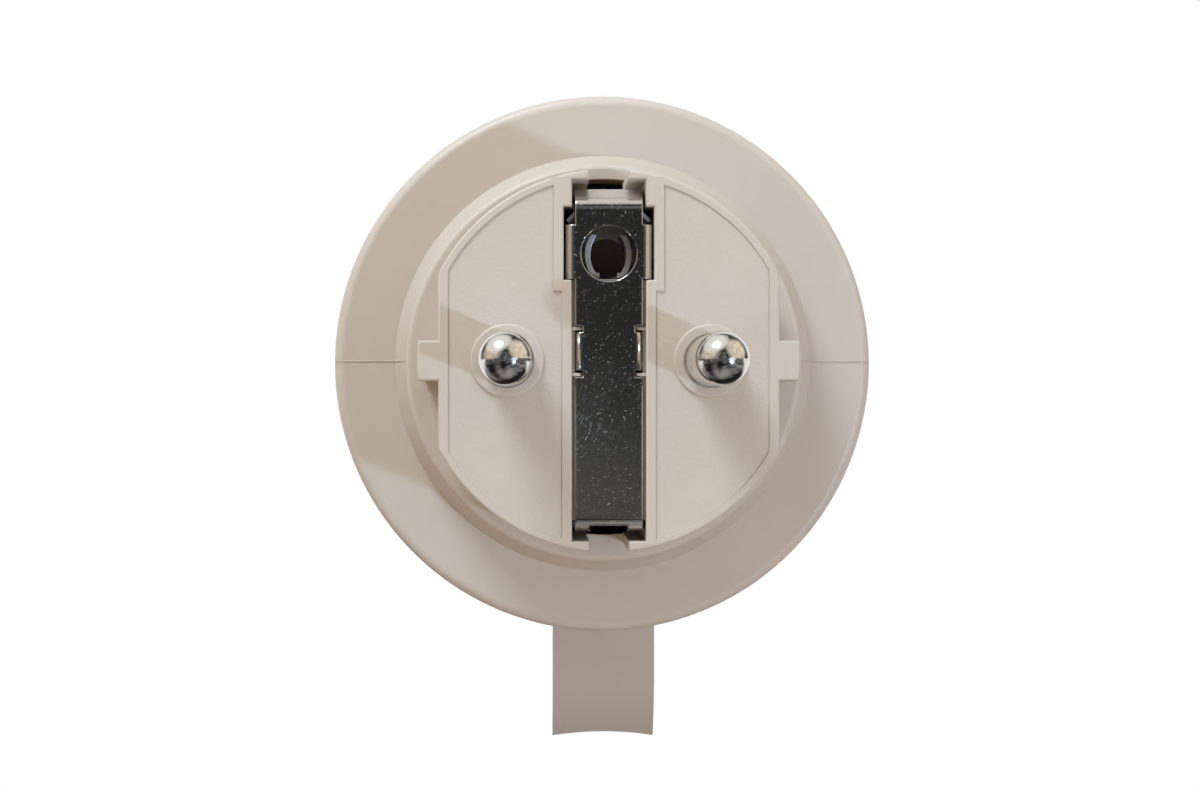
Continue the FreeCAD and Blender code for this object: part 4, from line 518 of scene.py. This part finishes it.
def strip_nickel():
    """Plated sheet with fine slanting scratches, specks of dust and a satin upper leg."""
    finish = Finish("strip_nickel", STRIP_NICKEL, 0.1, Metallic=1.0)
    finish.round_edges(0.2 * MM)
    fine = finish.scratches(
        grain=(0.045 * MM, 1 * MM, 1.3 * MM), turn=(0, 30, 0), low=0.58, high=0.74, level=1
    )
    coarse = finish.scratches(
        grain=(0.11 * MM, 1 * MM, 2.4 * MM), turn=(0, 38, 0), low=0.6, high=0.75, level=0.7
    )
    height = finish.axis("Z")
    lower_half = finish.math(
        "MINIMUM",
        finish.spread(height, *SCRATCHES_START, 0.12, 1),
        finish.spread(height, *SCRATCHES_END, 0.1, 1),
    )
    patches = finish.spread(finish.noise(grain=4 * MM, detail=2), 0.4, 0.62, 0.1, 1)
    worn = finish.math("MULTIPLY", patches, lower_half)
    marks = finish.math("MULTIPLY", finish.math("MAXIMUM", fine, coarse), worn)
    on_leg = finish.spread(height, *LEG_STARTS, 0, 0.4)
    dull = finish.math("MAXIMUM", finish.spread(marks, 0, 1, 0.09, 0.42), on_leg)
    finish.link(dull, finish.shader.inputs["Roughness"])
    finish.bump(marks, 0.004 * MM)
    finish.bump(finish.noise(grain=0.5 * MM, detail=3), 0.0015 * MM)

    specks = finish.add("ShaderNodeTexVoronoi")
    specks.inputs["Scale"].default_value = 1 / SPECK_SIZE
    finish.link(finish.place, specks.inputs["Vector"])
    dots = finish.spread(specks.outputs["Distance"], 0.1, 0.3, 1, 0)
    chosen = finish.spread(finish.noise(grain=0.4 * MM, detail=3), 0.42, 0.72, 0.04, 1)
    dust = finish.math("MULTIPLY", dots, chosen)
    finish.link(finish.spread(dust, 0, 1, 1, 0.4), finish.shader.inputs["Metallic"])
    return finish.material


def receptacle_nickel():
    """Rolled sprung leaves: satin, with scratches from mating pins."""
    finish = Finish("receptacle_nickel", NICKEL, 0.36, Metallic=1.0)
    finish.round_edges(0.1 * MM)
    rubbed = finish.brushed(grain=(0.12 * MM, 2 * MM, 0.12 * MM), detail=3)
    finish.rough(rubbed, 0.26, 0.5)
    finish.bump(rubbed, 0.012 * MM)
    return finish.material


def board_laminate():
    """Circuit board with the weave of its glass cloth."""
    finish = Finish("board_laminate", LAMINATE_GREEN, 0.32)
    weave = finish.add("ShaderNodeTexWave", wave_type="BANDS")
    weave.inputs["Scale"].default_value = LAMINATE_WEAVE
    finish.link(finish.place, weave.inputs["Vector"])
    finish.tint(finish.spread(weave.outputs["Fac"], 0.2, 0.9, 0, 0.35), LAMINATE_PALE)
    finish.rough(finish.noise(grain=0.6 * MM, detail=2), 0.26, 0.4)
    return finish.material


def clear_plastic():
    finish = Finish("clear_plastic", CLEAR, 0.25, Transmission_Weight=0.6, IOR=1.49)
    finish.rough(finish.noise(grain=0.5 * MM, detail=2), 0.2, 0.34)
    return finish.material


def plain_metal(name, colour, roughness):
    finish = Finish(name, colour, roughness, Metallic=1.0)
    cloud = finish.noise(grain=0.4 * MM, detail=3)
    finish.rough(cloud, roughness - 0.06, roughness + 0.1)
    finish.bump(finish.noise(grain=0.4 * MM, detail=2), 0.003 * MM)
    return finish.material


def plain_solid(name, colour, roughness):
    """A moulded or coated part with a slightly uneven colour."""
    finish = Finish(name, colour, roughness)
    shade = [channel * SHADE_OF_SOLIDS for channel in colour]
    finish.mottle(size=4 * MM, amount=0.5, other=shade)
    grain = finish.noise(grain=0.5 * MM, detail=2)
    finish.rough(grain, roughness - 0.05, roughness + 0.08)
    finish.bump(grain, 0.006 * MM)
    return finish.material


def dress_nodes(nodes):
    """Give every CAD node its finish."""
    shell = moulded("shell_plastic", BEIGE, roughness=0.42, grain_depth=0.006 * MM)
    socket = moulded("socket_plastic", SOCKET_BEIGE, roughness=0.38, grain_depth=0.004 * MM)
    finishes = {
        shell.material: ("rear_housing", "main_housing", "lid"),
        socket.material: ("socket_insert", "socket_floor"),
        insert_plastic(): ("plug_insert",),
        polished_nickel(): ("live_pin", "neutral_pin", "socket_earth_strap"),
        strip_nickel(): ("earth_strip",),
        receptacle_nickel(): ("earth_receptacle",),
        board_laminate(): ("main_board", "control_board"),
        clear_plastic(): ("light_guide",),
    }
    for make, table in ((plain_metal, PLAIN_METALS), (plain_solid, PLAIN_SOLIDS)):
        for title, (colour, roughness, names) in table.items():
            finishes[make(title, colour, roughness)] = names
    for material, names in finishes.items():
        for name in names:
            for held in nodes[name].material_slots:
                held.material = material


# Shapes that the scene adds to the CAD's


def add_piece(name, form, material, body):
    """Make a piece from a bmesh and let it ride on a body."""
    mesh = bpy.data.meshes.new(name)
    bmesh.ops.recalc_face_normals(form, faces=form.faces)
    form.to_mesh(mesh)
    form.free()
    mesh.materials.append(material)
    piece = bpy.data.objects.new(name, mesh)
    bpy.context.scene.collection.objects.link(piece)
    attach(piece, body)
    return piece


def shift_panels(form):
    """Make the panels as shallow and as wide as on the photographed face."""
    corner_height = math.sqrt(WIDE_RADIUS ** 2 - WIDE_HALF_WIDTH ** 2)
    for vert in form.verts:
        x, y, z = vert.co
        if y > PANEL_DEPTH + DEPTH_SLACK:
            continue
        if y > PANEL_DEPTH - DEPTH_SLACK:
            vert.co.y = SHALLOW_DEPTH
        reach = math.hypot(x, z)
        on_arc = abs(reach - PANEL_RADIUS) < RADIUS_SLACK
        on_side = abs(abs(x) - PANEL_HALF_WIDTH) < WIDTH_SLACK
        if on_side:
            vert.co.x = math.copysign(WIDE_HALF_WIDTH, x)
            if on_arc:
                vert.co.z = math.copysign(corner_height, z)
        elif on_arc and abs(x) < PANEL_INNER_SIDE:
            vert.co.z = math.copysign(math.sqrt(WIDE_RADIUS ** 2 - x ** 2), z)
        elif on_arc:
            vert.co.x *= WIDE_RADIUS / reach
            vert.co.z *= WIDE_RADIUS / reach


def front_edges(form):
    """The convex edges between the flat face and the deep walls behind it."""
    edges = []
    for edge in form.edges:
        off_face = any(abs(vert.co.y) > FACE_SLACK for vert in edge.verts)
        if off_face or len(edge.link_faces) != 2 or not edge.is_convex:
            continue
        front, wall = sorted(edge.link_faces, key=lambda face: face.normal.y)
        if front.normal.y > -FACING or abs(wall.normal.y) > UPRIGHT:
            continue
        if max(vert.co.y for vert in wall.verts) > WALL_DEPTH:
            edges.append(edge)
    return edges


def add_plug_face(node, material):
    """The insert with shallower, wider panels and rounded edges, in its own place."""
    form = bmesh.new()
    form.from_mesh(node.data)
    bmesh.ops.remove_doubles(form, verts=form.verts, dist=MERGE_DISTANCE)
    bmesh.ops.dissolve_limit(
        form, angle_limit=FLAT_ANGLE, verts=form.verts, edges=form.edges
    )
    shift_panels(form)
    form.normal_update()
    bmesh.ops.bevel(
        form, geom=front_edges(form), offset=EDGE_ROUND, offset_type="OFFSET",
        segments=EDGE_SEGMENTS, profile=ROUND_PROFILE, affect="EDGES", clamp_overlap=False,
    )
    form.normal_update()
    for face in form.faces:
        face.smooth = abs(face.normal.y) < FACING
    for edge in form.edges:
        edge.smooth = edge.calc_face_angle(math.pi) < SHARP_ANGLE
    piece = add_piece("plug_face", form, material, "housing")
    piece.data.attributes.remove(piece.data.attributes["custom_normal"])
    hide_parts(node.name)


def arc(start, corner, end):
    """Points on a smooth curve between two points, drawn towards a corner."""
    points = []
    for step in range(ARC_STEPS + 1):
        t = step / ARC_STEPS
        weights = ((1 - t) ** 2, 2 * t * (1 - t), t ** 2)
        points.append(tuple(
            sum(weight * place for weight, place in zip(weights, places))
            for places in zip(start, corner, end)
        ))
    return points


def join_rows(form, rows):
    """Walls between neighbouring rows of points, each row a closed outline."""
    for row, after in zip(rows, rows[1:]):
        for near in range(len(row)):
            far = (near + 1) % len(row)
            form.faces.new((row[near], row[far], after[far], after[near]))


def add_boss_rims(material):
    """Raised rims round the pins, turned about them."""
    profile = [
        (RIM_OUTER_EDGE[0][0], RIM_FOOT), *arc(*RIM_OUTER_EDGE),
        *arc(*RIM_INNER_EDGE), (RIM_INNER_EDGE[-1][0], RIM_FOOT),
    ]
    form = bmesh.new()
    for across in RIM_CENTRES:
        rows = []
        for step in range(RING_STEPS):
            angle = 2 * math.pi * step / RING_STEPS
            turn = Vector((math.cos(angle), 0, math.sin(angle)))
            rows.append([
                form.verts.new(turn * radius * MM + Vector((across, depth, 0)) * MM)
                for radius, depth in profile
            ])
        join_rows(form, rows + rows[:1])
    for face in form.faces:
        face.smooth = True
    piece = add_piece("boss_rims", form, material, "housing")
    piece.data.set_sharp_from_angle(angle=SHARP_ANGLE)


def add_parting_lines(material):
    """Thin raised lines over the flange and the collar, where the mould's halves met."""
    form = bmesh.new()
    for side in (-1, 1):
        rows = []
        for reach, depth, degrees in LINE_PATH:
            lean = math.radians(degrees)
            out = Vector((side * math.sin(lean), -math.cos(lean), 0))
            place = Vector((side * reach, depth, LINE_HEIGHT))
            rows.append([
                form.verts.new((place + out * lift + Vector((0, 0, up * LINE_WIDTH))) * MM)
                for lift, up in LINE_OUTLINE
            ])
        join_rows(form, rows)
        form.faces.new(rows[0])
        form.faces.new(rows[-1])
    add_piece("parting_lines", form, material, "housing")


def main():
    bpy.context.scene.view_settings.view_transform = "Standard"
    add_camera()
    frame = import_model()
    low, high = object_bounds()
    add_world()
    for name, setup in LAMPS.items():
        add_lamp(name, *setup)
    add_floor(low.z - FLOOR_DROP)
    nodes = frame["nodes"]
    dress_nodes(nodes)
    insert_material = nodes["plug_insert"].material_slots[0].material
    shell_material = nodes["rear_housing"].material_slots[0].material
    add_plug_face(nodes["plug_insert"], insert_material)
    add_boss_rims(insert_material)
    add_parting_lines(shell_material)
    low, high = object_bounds()


main()
